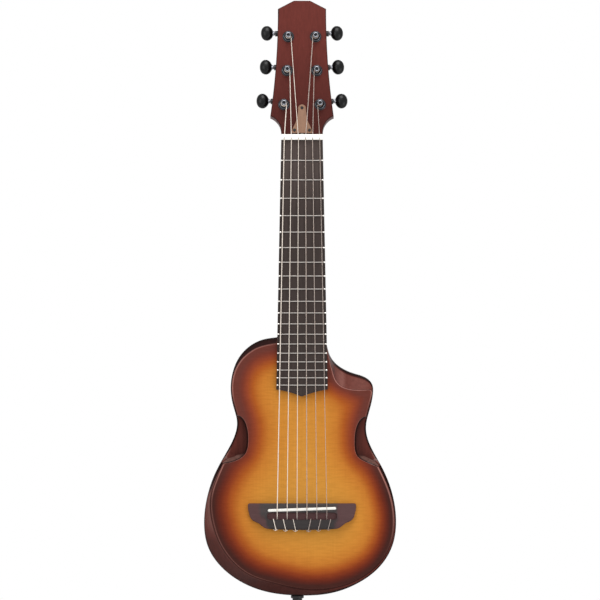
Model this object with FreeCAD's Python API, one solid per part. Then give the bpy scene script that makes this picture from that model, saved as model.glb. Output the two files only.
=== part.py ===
import FreeCAD, Part
import math
import os

# A small nylon-string electric-acoustic guitar with a cutaway, a carved solid-looking body and a flat head.
# Frame: +Z runs up the neck to the head, the strings face -Y, +X is the treble side.
# Origin: on the centre line, at the playing edge of the nut, in the plane where the fretboard meets the neck.
# All lengths are millimetres and all angles degrees.

Vector = FreeCAD.Vector

# ---- strings and scale -------------------------------------------------------------------------------------
scale_length = 433.0
fret_count = 19
string_diameters = (0.71, 0.82, 1.02, 0.74, 0.89, 1.09)
nut_string_pitch = 8.33
saddle_string_pitch = 11.65
string_height_at_nut = 1.9
string_height_at_saddle = 6.0

# ---- fretboard, nut and frets ------------------------------------------------------------------------------
board_width_at_nut = 48.9
board_width_at_end = 60.6
board_length = 293.6
board_point = 8.4
board_point_hollow = 1.1
board_thickness = 6.0
nut_thickness = 6.5
nut_height = 9.4
nut_back_fall = 1.6
nut_crown_share = 0.333
nut_bend_share = 0.2
nut_slot_clearance = 0.1
nut_channel_rise = 4.0
fret_crown_width = 2.4
fret_crown_height = 1.0
fret_tang_width = 0.6
fret_tang_depth = 1.8
fret_slot_clearance = 0.02

# ---- neck, heel and tenon ----------------------------------------------------------------------------------
neck_depth_at_nut = 14.0
neck_depth_at_heel = 16.0
heel_start = 188.0
heel_depth = 40.0
heel_sweep = 0.98
heel_section_shares = (0.3, 0.55, 0.75, 0.9, 1.0)
neck_to_body = 232.3
tenon_length = 57.0
tenon_width = 46.0
tenon_depth = 32.0
tenon_clearance = 0.05

# ---- head (distances up the head run along its face, from the back of the nut) -----------------------------
head_angle = 12.0
head_thickness = 15.0
head_step = 1.5
head_length = 162.2
head_tip_width = 19.0
head_top_width = 56.8
head_top_corner = 152.2
head_side_hollow = 2.3
head_ear_width = 74.6
head_ear_height = 22.1
head_throat_radius = 20.5
head_throat_middle_angle = 140.0
head_edge_radius = 1.5

# ---- truss rod and its cover -------------------------------------------------------------------------------
truss_rod_diameter = 5.0
truss_rod_end_wall = 4.3
truss_rod_depth = 5.0
truss_channel_clearance = 0.1
truss_anchor_width = 9.0
truss_anchor_length = 10.0
truss_nut_diameter = 7.4
truss_nut_length = 9.0
truss_nut_running_clearance = 0.05
truss_hex_size = 3.0
truss_hex_depth = 4.0
truss_pocket_clearance = 0.4
truss_pocket_length = 25.0
cover_foot_width = 24.4
cover_top_width = 9.4
cover_length = 34.5
cover_thickness = 2.0
cover_gap_to_nut = 1.2
cover_screw_head_diameter = 3.5
cover_screw_head_height = 1.0
cover_screw_shank_diameter = 1.8
cover_screw_length = 7.0
cover_screw_inset = 3.4
cover_top_screw_rise = 0.6
cover_screw_rounding = 0.4
cover_edge_radius = 0.6
# The cover's sides from foot to top: the share of the two widths' difference that is left, and of the rise.
cover_ogee_shares = ((1.0, 0.0), (0.82, 0.19), (0.38, 0.43), (0.12, 0.67), (0.0, 1.0))

# ---- tuners ------------------------------------------------------------------------------------------------
first_post_height = 35.9
post_pitch = 41.1
post_offsets = (21.3, 17.4, 16.1)
post_diameter = 6.5
post_running_clearance = 0.05
post_waist_diameter = 5.2
post_waist_bottom = 3.9
post_waist_length = 4.4
post_height = 10.6
post_string_hole = 1.6
post_centre_hole = 2.0
post_centre_hole_depth = 3.0
post_wheel_seat_diameter = 4.4
post_rivet_diameter = 6.0
post_rivet_height = 0.8
post_top_chamfer = 0.5
bushing_flats = 11.4
bushing_head_height = 2.6
bushing_corner_share = 1.09
bushing_tube_diameter = 9.6
bushing_hole_clearance = 0.1
washer_diameter = 13.6
washer_thickness = 0.8
wheel_teeth = 15
gear_module = 0.8
gear_backlash = 0.7
gear_tip_clearance = 0.2
wheel_width = 5.0
worm_pitch_diameter = 5.0
worm_addendum = 0.7
worm_thread_overlap = 0.2
worm_turns = 4
pressure_angle = 20.0
housing_wall = 1.6
housing_floor = 1.5
gear_clearance = 0.5
housing_lid = 1.1
housing_corner_radius = 2.0
housing_lid_rounding = 0.6
shaft_journal_diameter = 4.2
shaft_tail_diameter = 3.0
shaft_running_clearance = 0.05
shaft_end_play = 0.3
collar_diameter = 6.8
collar_length = 6.8
knob_gap = 2.2
knob_length = 14.4
knob_height = 17.6
knob_depth = 10.4
knob_rounding = 0.4
knob_seat_depth = 8.6
knob_screw_recess = 0.6
knob_screw_head_diameter = 3.0
knob_screw_head_height = 1.2
knob_screw_shank_diameter = 1.6
tuner_screw_diameter = 2.4
tuner_screw_head_diameter = 4.4
tuner_screw_head_height = 1.2
tuner_screw_length = 9.0
tuner_ear_width = 7.0
tuner_ear_length = 7.0
tuner_ear_thickness = 2.0
wrap_turns = 3
wrap_gap = 0.3
wrap_above_waist_foot = 0.4

# ---- body --------------------------------------------------------------------------------------------------
body_width = 226.1
body_length = 304.1
body_depth = 46.0
soundboard_thickness = 3.0
back_thickness = 5.0
back_chamfer = 5.0
rim_thickness = 24.0
tail_block_width = 44.0
tail_block_depth = 28.0
brace_width = 8.0
brace_height = 7.0
brace_setback = 3.0
scoop_wall_depth = 7.0
scoop_floor_slope = 24.0

# ---- bridge, saddle and pickup -----------------------------------------------------------------------------
saddle_compensation = 1.5
saddle_length = 80.5
saddle_thickness = 3.3
saddle_slant = 1.9
saddle_crown_radius = 1.4
saddle_groove_clearance = 0.03
bridge_height = 8.5
bridge_slot_floor = 2.5
bridge_width = 127.4
bridge_front_margin = 6.9
bridge_rear_margin = 24.3
bridge_wing_height = 4.5
bridge_wing_start = 46.0
bridge_corner_radius = 2.5
bridge_end_taper = 5.2
bridge_heel_rise = 1.8
trough_front = 3.9
trough_depth = 4.0
tie_block_front = 12.1
tie_block_rear = 22.1
tie_hole_diameter = 1.5
tie_hole_below_top = 2.8
tie_clearance = 0.05
tie_rear_lean = 1.5
tie_front_lean = 4.6
tie_tuck_thicknesses = 1.5
bridge_plate_thickness = 2.5
bridge_plate_width = 120.0
pickup_strip_thickness = 1.2
pickup_strip_clearance = 0.15
lead_diameter = 2.4
lead_hole_diameter = 3.2
lead_entry_from_saddle_end = 3.7
lead_arc_share = 0.45

# ---- end-pin jack ------------------------------------------------------------------------------------------
jack_offset = -5.5
jack_depth = 23.0
jack_bore_diameter = 6.5
jack_barrel_diameter = 12.0
jack_barrel_clearance = 0.1
jack_thread_diameter = 9.5
jack_end_length = 2.0
jack_cap_diameter = 9.0
jack_cap_thickness = 2.0
jack_flange_diameter = 15.4
jack_flange_thickness = 3.6
jack_flange_rounding = 0.3
jack_waist_diameter = 11.6
jack_waist_length = 8.0
jack_button_diameter = 15.0
jack_button_thickness = 3.4
jack_nut_flats = 17.0
jack_nut_thickness = 3.5
jack_room_diameter = 9.6
jack_room_start = 5.0
jack_room_length = 14.0
jack_contact_thickness = 0.6
jack_contact_width = 3.0
jack_contact_length = 12.0
jack_contact_gap = 0.3

# Outline of the body, drawn at full size: how far each point of the side stands from the centre line and from
# the neck joint, then the matching point of the flat top's edge, then how deep the bevel between them is.
drawn_body_width = 226.1
drawn_body_length = 304.1
bass_shoulder_rows = (
    (-29.4, 0.0, -29.4, -7.3, 9.0),
    (-47.0, -3.0, -46.5, -10.7, 9.0),
    (-62.0, -10.7, -58.2, -15.8, 7.5),
    (-74.5, -24.3, -70.6, -26.4, 5.0),
    (-81.4, -40.7, -78.9, -41.2, 3.0),
    (-83.9, -60.7, -81.8, -60.7, 2.5),
)
# These rows, from the bass bout round to the horn, have the hollow of the body inside them.
hollow_rows = (
    (-81.2, -79.5, -78.9, -79.0, 2.5),
    (-76.5, -100.7, -74.1, -100.7, 2.5),
    (-81.3, -120.7, -78.8, -121.9, 2.5),
    (-92.7, -141.9, -89.5, -143.8, 3.0),
    (-103.6, -163.1, -99.0, -164.7, 5.0),
    (-111.2, -186.0, -106.0, -186.6, 9.0),
    (-115.4, -219.5, -104.0, -218.9, 18.0),
    (-110.6, -247.8, -93.5, -246.6, 22.0),
    (-94.1, -271.9, -74.7, -269.4, 22.0),
    (-68.7, -290.1, -53.5, -282.2, 19.0),
    (-40.0, -300.3, -30.6, -288.9, 14.0),
    (-3.5, -304.1, -2.4, -295.0, 10.0),
    (34.1, -301.2, 32.3, -295.0, 6.0),
    (67.0, -288.7, 64.1, -285.4, 3.5),
    (92.3, -268.9, 89.2, -266.8, 2.5),
    (106.5, -244.8, 103.4, -243.8, 2.5),
    (110.7, -216.0, 108.0, -216.0, 2.5),
    (106.1, -183.3, 103.0, -184.2, 2.5),
    (93.9, -152.5, 90.2, -154.4, 2.5),
    (81.9, -130.6, 79.3, -132.1, 2.5),
    (75.4, -107.8, 72.9, -107.8, 2.5),
    (79.2, -86.6, 76.8, -86.0, 2.5),
)
cutaway_rows = (
    (83.5, -66.6, 81.4, -68.0, 2.5),
    (82.2, -54.4, 80.3, -62.3, 7.0),
    (75.9, -48.0, 73.5, -62.6, 18.0),
    (61.2, -42.6, 59.4, -62.1, 22.0),
    (47.6, -36.7, 47.1, -58.6, 24.0),
    (38.6, -29.7, 39.1, -50.8, 23.0),
    (32.5, -20.5, 35.2, -39.6, 19.0),
    (29.3, -9.6, 31.8, -26.6, 14.0),
    (26.5, 0.0, 28.2, -10.1, 9.0),
)
body_outline = bass_shoulder_rows + hollow_rows + cutaway_rows
# Inner edges of the two waist scoops, drawn like the outline: bass side, then treble side.
bass_scoop = ((-82.0, -91.0), (-71.8, -93.1), (-65.9, -102.0), (-63.2, -120.7),
              (-66.5, -136.6), (-78.8, -145.5), (-97.0, -149.0))
treble_scoop = ((82.0, -91.5), (70.6, -94.8), (64.4, -104.5), (61.8, -124.0),
                (65.0, -139.5), (76.5, -147.2), (92.0, -153.5))


# ---- small helpers -----------------------------------------------------------------------------------------
def box(x_range, y_range, z_range):
    """A box between two values on each axis."""
    size = Vector(x_range[1] - x_range[0], y_range[1] - y_range[0], z_range[1] - z_range[0])
    return Part.makeBox(size.x, size.y, size.z, Vector(x_range[0], y_range[0], z_range[0]))


def rod(start, end, diameter):
    """A round bar from one point to another."""
    axis = end.sub(start)
    return Part.makeCylinder(diameter / 2, axis.Length, start, axis)


def polygon_face(points):
    """A flat face inside straight edges."""
    return Part.Face(Part.makePolygon(list(points) + [points[0]]))


def arc(start, middle, end):
    """An arc edge through three points."""
    return Part.Arc(start, middle, end).toShape()


def line(start, end):
    """A straight edge."""
    return Part.makeLine(start, end)


def spline(points, parameters=None):
    """A smooth curve edge through points."""
    curve = Part.BSplineCurve()
    if parameters:
        curve.interpolate(Points=points, Parameters=parameters)
    else:
        curve.interpolate(Points=points)
    return curve.toShape()


def fuse_all(shapes):
    """One solid from several that touch or overlap."""
    return shapes[0].multiFuse(shapes[1:]).removeSplitter()


# ---- places that several pieces share ----------------------------------------------------------------------
head_frame = FreeCAD.Placement(
    Vector(0, -head_step, nut_thickness), FreeCAD.Rotation(Vector(1, 0, 0), -head_angle))
saddle_z = -scale_length - saddle_compensation
truss_rod_foot = -neck_to_body - tenon_length + truss_rod_end_wall
saddle_top = board_thickness + string_height_at_saddle
nut_string_y = -board_thickness - string_height_at_nut
chamber_floor = body_depth - back_thickness
gear_depth = head_thickness + housing_floor + gear_clearance + wheel_width / 2
gear_radius = gear_module * wheel_teeth / 2
gear_distance = gear_radius + worm_pitch_diameter / 2
worm_pitch = math.pi * gear_module
worm_outer = worm_pitch_diameter / 2 + worm_addendum
wheel_outer = gear_radius + worm_addendum
worm_core = gear_distance - wheel_outer - gear_tip_clearance
wheel_root = gear_distance - worm_outer - gear_tip_clearance
gear_half = worm_pitch * worm_turns / 2 + worm_pitch / 2
case_inner = wheel_outer + gear_clearance
case_side = max(case_inner, gear_half + shaft_end_play) + housing_wall
case_top = gear_distance + worm_outer + gear_clearance + housing_wall
case_depth = gear_depth + wheel_width / 2 + post_rivet_height + gear_clearance
collar_end = case_side + collar_length
knob_start = collar_end + knob_gap


def board_half_width(z):
    """Half the fretboard's width at a height on the neck."""
    taper = (board_width_at_end - board_width_at_nut) / 2 / board_length
    return board_width_at_nut / 2 - z * taper


def string_side(number):
    """-1 for the three bass strings, whose tuners are on the bass side, and 1 for the treble strings."""
    return -1 if number > 3 else 1


def string_row(number):
    """Which tuner row a string uses: 0 is nearest the nut."""
    return 6 - number if number > 3 else number - 1


def spread(number, pitch):
    """Where a string stands across the centre line for a spacing."""
    return (3.5 - number) * pitch


def head_point(x, depth, height):
    """A point given across the head, behind its face and up its face."""
    return head_frame.multVec(Vector(x, depth, height))


def on_head(shape, number=None):
    """A shape drawn flat, stood on the head: at a tuner if a string number is given."""
    placed = shape.copy()
    if number is not None:
        row = string_row(number)
        if string_side(number) < 0:
            placed = placed.mirror(Vector(0, 0, 0), Vector(1, 0, 0))
        offset = string_side(number) * post_offsets[row]
        placed.translate(Vector(offset, 0, first_post_height + row * post_pitch))
    placed.Placement = head_frame.multiply(placed.Placement)
    return placed


def at_every_tuner(shape):
    """The six copies of a shape drawn for one tuner."""
    return Part.makeCompound([on_head(shape, number) for number in range(1, 7)])


# ---- body --------------------------------------------------------------------------------------------------
def body_point(x, z, y=0.0):
    """A drawn outline point at the body's real size."""
    width = body_width / drawn_body_width
    length = body_length / drawn_body_length
    return Vector(x * width, y, z * length - neck_to_body)


def side_points():
    """The corners of the side wall's outline, at the top plane."""
    return [body_point(row[0], row[1]) for row in body_outline]


def inset_points(points, distance):
    """Points moved inward, square to the outline that runs through them."""
    moved = []
    for index, point in enumerate(points):
        before = points[max(index - 1, 0)]
        after = points[min(index + 1, len(points) - 1)]
        along = after.sub(before).normalize()
        moved.append(point.add(Vector(-along.z, 0, along.x) * distance))
    return moved


def outline_parameters(points):
    """Running length along the side's points, so that every level of the body shares one spacing."""
    values = [0.0]
    for start, end in zip(points, points[1:]):
        values.append(values[-1] + start.distanceToPoint(end))
    return values


def body_level(points, parameters):
    """The two edges of one level of the body: its outline and the short straight edge at the neck."""
    return [spline(points, parameters), line(points[-1], points[0])]


def body_envelope():
    """The outside of the body: flat top, bevel, side wall, chamfer and flat back."""
    side = side_points()
    parameters = outline_parameters(side)
    top = [body_point(row[2], row[3]) for row in body_outline]
    drops = [row[4] for row in body_outline]
    rim = [Vector(point.x, drop, point.z) for point, drop in zip(side, drops)]
    foot = [Vector(point.x, body_depth - back_chamfer, point.z) for point in side]
    back = [Vector(point.x, body_depth, point.z) for point in inset_points(side, back_chamfer)]
    levels = [body_level(points, parameters) for points in (top, rim, foot, back)]
    faces = [Part.Face(Part.Wire(levels[0])), Part.Face(Part.Wire(levels[-1]))]
    for upper, lower in zip(levels, levels[1:]):
        faces += [Part.makeRuledSurface(a, b) for a, b in zip(upper, lower)]
    shell = Part.makeShell(faces)
    shell.sewShape()
    solid = Part.makeSolid(shell)
    if solid.Volume < 0:
        solid.reverse()
    return solid.fuse(neck_seat()).removeSplitter()


def neck_seat():
    """The flat wood under the end of the fretboard, where the bevels stop."""
    reach = min(-body_outline[0][0], body_outline[-1][0]) * body_width / drawn_body_width
    drop = max(-row[3] for row in (body_outline[0], body_outline[-1])) + tenon_clearance
    return box((-reach, reach), (0, body_outline[0][4] + drop), (-neck_to_body - 2 * drop, -neck_to_body))


def scoop(inner_edge, side):
    """What a waist scoop takes away: a wall down from the top's edge, then a floor that falls outward."""
    points = [body_point(x, z, -body_depth) for x, z in inner_edge]
    reach = side * body_width
    outer = [Vector(reach, -body_depth, points[-1].z), Vector(reach, -body_depth, points[0].z)]
    edges = [spline(points), line(points[-1], outer[0]), line(outer[0], outer[1]), line(outer[1], points[0])]
    prism = Part.Face(Part.Wire(edges)).extrude(Vector(0, 2 * body_depth, 0))
    inner_x = min(abs(point.x) for point in points) * side
    above = box((-2 * body_width, 2 * body_width), (-4 * body_depth, 0), (-body_length * 2, body_length))
    above.rotate(Vector(0, 0, 0), Vector(0, 0, 1), side * scoop_floor_slope)
    above.translate(Vector(inner_x, scoop_wall_depth, 0))
    return prism.common(above)


def tenon_pocket():
    """The pocket for the neck's tenon, open at the top and at the neck joint."""
    half = tenon_width / 2 + tenon_clearance
    bottom = -neck_to_body - tenon_length - tenon_clearance
    return box((-half, half), (-1, tenon_depth + tenon_clearance), (bottom, -neck_to_body + 1))


def tail_z():
    """The height of the lowest point of the body."""
    side = side_points()
    return min(point.z for point in spline(side, outline_parameters(side)).discretize(500))


def chamber_side():
    """The hollow's curved outline, one rim inside the body's side."""
    first = len(bass_shoulder_rows)
    inner = inset_points(side_points(), rim_thickness)[first:first + len(hollow_rows)]
    return spline([Vector(point.x, soundboard_thickness, point.z) for point in inner])


def chamber():
    """The hollow inside the body, open towards the soundboard, round the block that holds the jack."""
    curve = chamber_side()
    wire = Part.Wire([curve, line(curve.Vertexes[-1].Point, curve.Vertexes[0].Point)])
    hollow = Part.Face(wire).extrude(Vector(0, chamber_floor - soundboard_thickness, 0))
    half = tail_block_width / 2
    block = box((jack_offset - half, jack_offset + half), (0, body_depth),
                (tail_z(), tail_z() + tail_block_depth))
    return hollow.cut(block)


def carved_body():
    """The body's envelope with its scoops and tenon pocket cut."""
    cuts = [scoop(bass_scoop, -1), scoop(treble_scoop, 1), tenon_pocket()]
    return body_envelope().cut(cuts)


def lead_passage():
    """The hole that lets the pickup's lead down from the saddle slot."""
    x, z = lead_entry()
    return rod(Vector(x, -bridge_height, z), Vector(x, 3 * bridge_plate_thickness + soundboard_thickness, z),
               lead_hole_diameter)


def body_block():
    """The hollowed body under the soundboard."""
    limits = box((-body_width, body_width), (soundboard_thickness, 2 * body_depth), (-2 * body_length, 0))
    limits.translate(Vector(0, 0, -neck_to_body + body_length / 4))
    hole = rod(Vector(jack_offset, jack_depth, tail_z() - 1),
               Vector(jack_offset, jack_depth, tail_z() + tail_block_depth + 1),
               jack_barrel_diameter + 2 * jack_barrel_clearance)
    return carved_body().common(limits).cut([chamber(), hole])


def soundboard():
    """The spruce top."""
    limits = box((-body_width, body_width), (-1, soundboard_thickness), (-2 * body_length, 0))
    limits.translate(Vector(0, 0, -neck_to_body + body_length / 4))
    return carved_body().common(limits).cut(lead_passage())


def top_braces():
    """Two bars across the underside of the soundboard: halfway from the bridge plate to each end block."""
    plate_top = saddle_z + bridge_front_margin
    plate_foot = saddle_z - bridge_rear_margin
    tenon_end = -neck_to_body - tenon_length
    bars = []
    for z in ((plate_top + tenon_end) / 2, (plate_foot + tail_z() + tail_block_depth) / 2):
        half = chamber_half_width(z - brace_width, z + brace_width) - brace_setback
        bars.append(box((-half, half), (soundboard_thickness, soundboard_thickness + brace_height),
                        (z - brace_width / 2, z + brace_width / 2)))
    return Part.makeCompound(bars)


def chamber_half_width(low, high):
    """The hollow's least reach to either side between two heights."""
    points = chamber_side().discretize(800)
    return min(abs(point.x) for point in points if low <= point.z <= high)


def bridge_plate():
    """The hardwood plate under the bridge."""
    half = bridge_plate_width / 2
    plate = box((-half, half), (soundboard_thickness, soundboard_thickness + bridge_plate_thickness),
                (saddle_z - bridge_rear_margin, saddle_z + bridge_front_margin))
    return plate.cut(lead_passage())


# ---- bridge, saddle and pickup -----------------------------------------------------------------------------
def along_saddle(shape):
    """A shape drawn level, turned to the saddle's slant and put at its place."""
    shape.rotate(Vector(0, 0, 0), Vector(0, 1, 0), -saddle_slant)
    shape.translate(Vector(0, 0, saddle_z))
    return shape


def saddle_bar(thickness, length, y_range):
    """A bar with round ends that lies along the saddle line."""
    half = length / 2 - thickness / 2
    bar = box((-half, half), y_range, (-thickness / 2, thickness / 2))
    ends = [rod(Vector(x, y_range[0], 0), Vector(x, y_range[1], 0), thickness) for x in (-half, half)]
    return along_saddle(fuse_all([bar] + ends))


def bridge_corner(side):
    """One end of the bridge's outline, from its front edge round to its rear edge."""
    half = bridge_width / 2
    corner = bridge_corner_radius
    front = saddle_z + bridge_front_margin
    near_corner = corner * (1 - math.sqrt(0.5))
    return [Vector(side * (half - corner), 0, front),
            Vector(side * (half - near_corner), 0, front - near_corner),
            Vector(side * half, 0, front - corner),
            Vector(side * (half - bridge_end_taper), 0, saddle_z - tie_block_front),
            Vector(side * bridge_wing_start, 0, bridge_heel_z())]


def bridge_heel_z():
    """The height where the bowed rear edge meets the wings."""
    return saddle_z - tie_block_rear + bridge_heel_rise


def bridge_outline():
    """The bridge seen from the front: straight front edge, tapered wings and a bowed rear edge."""
    right = bridge_corner(1)
    left = bridge_corner(-1)
    lowest = Vector(0, 0, saddle_z - bridge_rear_margin)
    edges = [line(left[0], right[0]), arc(right[0], right[1], right[2]), line(right[2], right[3]),
             line(right[3], right[4]), arc(right[4], lowest, left[4]),
             line(left[4], left[3]), line(left[3], left[2]), arc(left[2], left[1], left[0])]
    return Part.Face(Part.Wire(edges))


def bridge_blank():
    """The bridge before its slot and trough are cut, with wings that fall to thin tips."""
    blank = bridge_outline().extrude(Vector(0, -bridge_height, 0))
    run = bridge_width / 2 - bridge_wing_start
    z_range = (saddle_z - 2 * bridge_rear_margin, saddle_z + 2 * bridge_front_margin)
    cuts = []
    for side in (-1, 1):
        start = side * bridge_wing_start
        end = side * (bridge_wing_start + 2 * run)
        fall = 2 * (bridge_height - bridge_wing_height)
        wedge = polygon_face([Vector(start, -bridge_height, z_range[0]),
                              Vector(end, -bridge_height + fall, z_range[0]),
                              Vector(end, -bridge_height - 1, z_range[0]),
                              Vector(start, -bridge_height - 1, z_range[0])])
        cuts.append(wedge.extrude(Vector(0, 0, z_range[1] - z_range[0])))
    return blank.cut(cuts)


def tie_hole_y():
    """How deep the string holes run below the top of the tie block."""
    return -bridge_height + tie_hole_below_top


def bridge():
    """The bridge with its saddle slot, trough, string holes and lead hole."""
    slot = saddle_bar(saddle_thickness, saddle_length, (-bridge_height - 1, -bridge_slot_floor))
    half = saddle_length / 2
    trough = box((-half, half), (-bridge_height - 1, -bridge_height + trough_depth),
                 (saddle_z - tie_block_front, saddle_z - trough_front))
    holes = []
    for number in range(1, 7):
        x = spread(number, saddle_string_pitch)
        holes.append(rod(Vector(x, tie_hole_y(), saddle_z - trough_front - 1),
                         Vector(x, tie_hole_y(), saddle_z - 2 * bridge_rear_margin), tie_hole_diameter))
    chamfer = box((-half, half), (-2 * bridge_height, tie_hole_y() - tie_hole_diameter),
                  (saddle_z - 2 * bridge_rear_margin, saddle_z - tie_block_rear))
    return bridge_blank().cut([slot, trough, chamfer, lead_passage()] + holes)


def saddle():
    """The bone saddle, with a rounded crown and a shallow groove for each string."""
    top = -saddle_top
    blank = saddle_bar(saddle_thickness, saddle_length, (top, -bridge_slot_floor - pickup_strip_thickness))
    crown = [edge for edge in blank.Edges if edge.BoundBox.YMax < top + saddle_crown_radius]
    blank = blank.makeFillet(saddle_crown_radius, crown)
    grooves = []
    for number in range(1, 7):
        before, crossing, after = string_points(number)[1:4]
        width = string_diameters[number - 1] + 2 * saddle_groove_clearance
        for end in (before, after):
            past = crossing.sub(end).normalize() * (width / 2)
            grooves.append(rod(end, crossing.add(past), width))
    return blank.cut(grooves)


def pickup_strip():
    """The strip under the saddle."""
    width = saddle_thickness - 2 * pickup_strip_clearance
    length = saddle_length - 2 * pickup_strip_clearance
    return saddle_bar(width, length, (-bridge_slot_floor - pickup_strip_thickness, -bridge_slot_floor))


def lead_entry():
    """Where the lead leaves the strip, at the bass end of the slot."""
    x = -saddle_length / 2 + lead_entry_from_saddle_end
    return x, saddle_z + x * math.tan(math.radians(saddle_slant))


def lead_route():
    """The points of the lead, chosen by hand between the strip and the jack."""
    x, z = lead_entry()
    end = jack_inner_z()
    return [Vector(x, -bridge_slot_floor, z), Vector(x, 14.0, z), Vector(x + 7.0, 22.0, z - 14.0),
            Vector(jack_offset - 8.0, 24.0, end + 20.0), Vector(jack_offset, jack_depth, end + 9.0),
            Vector(jack_offset, jack_depth, end)]


def tangent_path(route):
    """Straight runs joined by tangent arcs, each of which takes a set share of the shorter run beside it."""
    edges = []
    here = route[0]
    for before, point, after in zip(route, route[1:], route[2:]):
        arriving = point.sub(before)
        leaving = after.sub(point)
        reach = lead_arc_share * min(arriving.Length, leaving.Length)
        turn = arriving.getAngle(leaving)
        radius = reach / math.tan(turn / 2)
        arriving.normalize()
        leaving.normalize()
        start = point.sub(arriving * reach)
        end = point.add(leaving * reach)
        inward = leaving.sub(arriving).normalize()
        middle = point.add(inward * (radius / math.cos(turn / 2) - radius))
        edges.append(line(here, start))
        edges.append(arc(start, middle, end))
        print("lead arc radius %.1f mm" % radius)
        here = end
    edges.append(line(here, route[-1]))
    return Part.Wire(edges)


def pickup_lead():
    """The lead from the strip to the jack, whole."""
    route = lead_route()
    path = tangent_path(route)
    section = Part.Wire(Part.makeCircle(lead_diameter / 2, route[0], route[1].sub(route[0])))
    solid = path.makePipeShell([section], True, True)
    expected = path.Length * math.pi * lead_diameter ** 2 / 4
    print("lead length %.1f mm, volume %.1f of %.1f mm3" % (path.Length, solid.Volume, expected))
    return solid


# ---- end-pin jack ------------------------------------------------------------------------------------------
def jack_rod(diameter, z_start, z_end):
    """A round bar on the jack's axis."""
    return rod(Vector(jack_offset, jack_depth, z_start), Vector(jack_offset, jack_depth, z_end), diameter)


def jack_outer_z():
    """The height of the outer end of the strap button."""
    return tail_z() - jack_flange_thickness - jack_waist_length - jack_button_thickness


def jack_top_z():
    """The height of the barrel's inner shoulder, past its nut."""
    return tail_z() + tail_block_depth + jack_nut_thickness + jack_end_length


def jack_inner_z():
    """The height of the jack's inner end, where the lead is soldered."""
    return jack_top_z() + jack_cap_thickness


def jack_barrel():
    """The jack's stepped tube, closed at its inner end: the plug's bore, then room for the contacts."""
    foot = tail_z()
    tube = fuse_all([jack_rod(jack_thread_diameter, jack_outer_z(), foot),
                     jack_rod(jack_barrel_diameter, foot, jack_top_z()),
                     jack_rod(jack_cap_diameter, jack_top_z(), jack_inner_z())])
    bore = jack_rod(jack_bore_diameter, jack_outer_z() - 1, foot + jack_room_start + 1)
    room = jack_rod(jack_room_diameter, foot + jack_room_start, foot + jack_room_start + jack_room_length)
    return tube.cut([bore, room])


def jack_strap_pin():
    """The sleeve on the outside: flange against the body, waist for a strap and an end button."""
    foot = tail_z()
    waist_start = foot - jack_flange_thickness
    waist_end = waist_start - jack_waist_length
    flange = jack_rod(jack_flange_diameter, waist_start, foot)
    flange = flange.makeFillet(jack_flange_thickness * jack_flange_rounding, [flange.Edges[0], flange.Edges[2]])
    waist = jack_rod(jack_waist_diameter, waist_end, waist_start)
    button = jack_rod(jack_button_diameter, jack_outer_z(), waist_end)
    return fuse_all([flange, waist, button]).cut(jack_rod(jack_thread_diameter, jack_outer_z() - 1, foot + 1))


def jack_inner_nut():
    """The hexagon nut that clamps the jack against the inside of the tail block."""
    seat = tail_z() + tail_block_depth
    ring = hexagon_prism(jack_nut_flats, jack_nut_thickness)
    ring.rotate(Vector(0, 0, 0), Vector(1, 0, 0), -90)
    ring.translate(Vector(jack_offset, jack_depth, seat))
    return ring.cut(jack_rod(jack_barrel_diameter, seat - 1, seat + 2 * jack_nut_thickness))


def jack_contacts():
    """Two spring strips in the jack's room, beside the plug."""
    top = tail_z() + jack_room_start + jack_room_length
    inner = jack_bore_diameter / 2 + jack_contact_gap
    outer = inner + jack_contact_thickness
    y_range = (jack_depth - jack_contact_width / 2, jack_depth + jack_contact_width / 2)
    strips = []
    for side in (-1, 1):
        x_range = sorted((jack_offset + side * inner, jack_offset + side * outer))
        strips.append(box(x_range, y_range, (top - jack_contact_length, top)))
    return Part.makeCompound(strips)


# ---- fretboard, frets and nut ------------------------------------------------------------------------------
def fret_z(number):
    """The height of a fret below the nut in equal temperament."""
    return -scale_length * (1 - 2 ** (-number / 12))


def fret_bar(number, tang_width, tang_depth):
    """A fret's tang, or the slot for one."""
    z = fret_z(number)
    half = board_half_width(z)
    return box((-half, half), (-board_thickness, -board_thickness + tang_depth),
               (z - tang_width / 2, z + tang_width / 2))


def frets():
    """Every fret: a domed crown over a thin tang."""
    wires = []
    for number in range(1, fret_count + 1):
        z = fret_z(number)
        half = board_half_width(z)
        low = Vector(-half, -board_thickness, z - fret_crown_width / 2)
        high = Vector(-half, -board_thickness, z + fret_crown_width / 2)
        peak = Vector(-half, -board_thickness - fret_crown_height, z)
        crown = Part.Face(Part.Wire([arc(low, peak, high), line(high, low)])).extrude(Vector(2 * half, 0, 0))
        wires.append(fuse_all([crown, fret_bar(number, fret_tang_width, fret_tang_depth)]))
    return Part.makeCompound(wires)


def fretboard():
    """The tapered board, with a pointed end of two hollow curves and a slot for each fret."""
    end = board_width_at_end / 2
    nut = board_width_at_nut / 2
    point = Vector(0, 0, -board_length - board_point)
    left = Vector(-end, 0, -board_length)
    right = Vector(end, 0, -board_length)
    middle_z = -board_length - board_point / 2 + board_point_hollow
    edges = [line(Vector(-nut, 0, 0), Vector(nut, 0, 0)), line(Vector(nut, 0, 0), right),
             arc(right, Vector(end / 2, 0, middle_z), point), arc(point, Vector(-end / 2, 0, middle_z), left),
             line(left, Vector(-nut, 0, 0))]
    blank = Part.Face(Part.Wire(edges)).extrude(Vector(0, -board_thickness, 0))
    width = fret_tang_width + 2 * fret_slot_clearance
    depth = fret_tang_depth + fret_slot_clearance
    slots = [fret_bar(number, width, depth) for number in range(1, fret_count + 1)]
    return blank.cut(slots)


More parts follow.
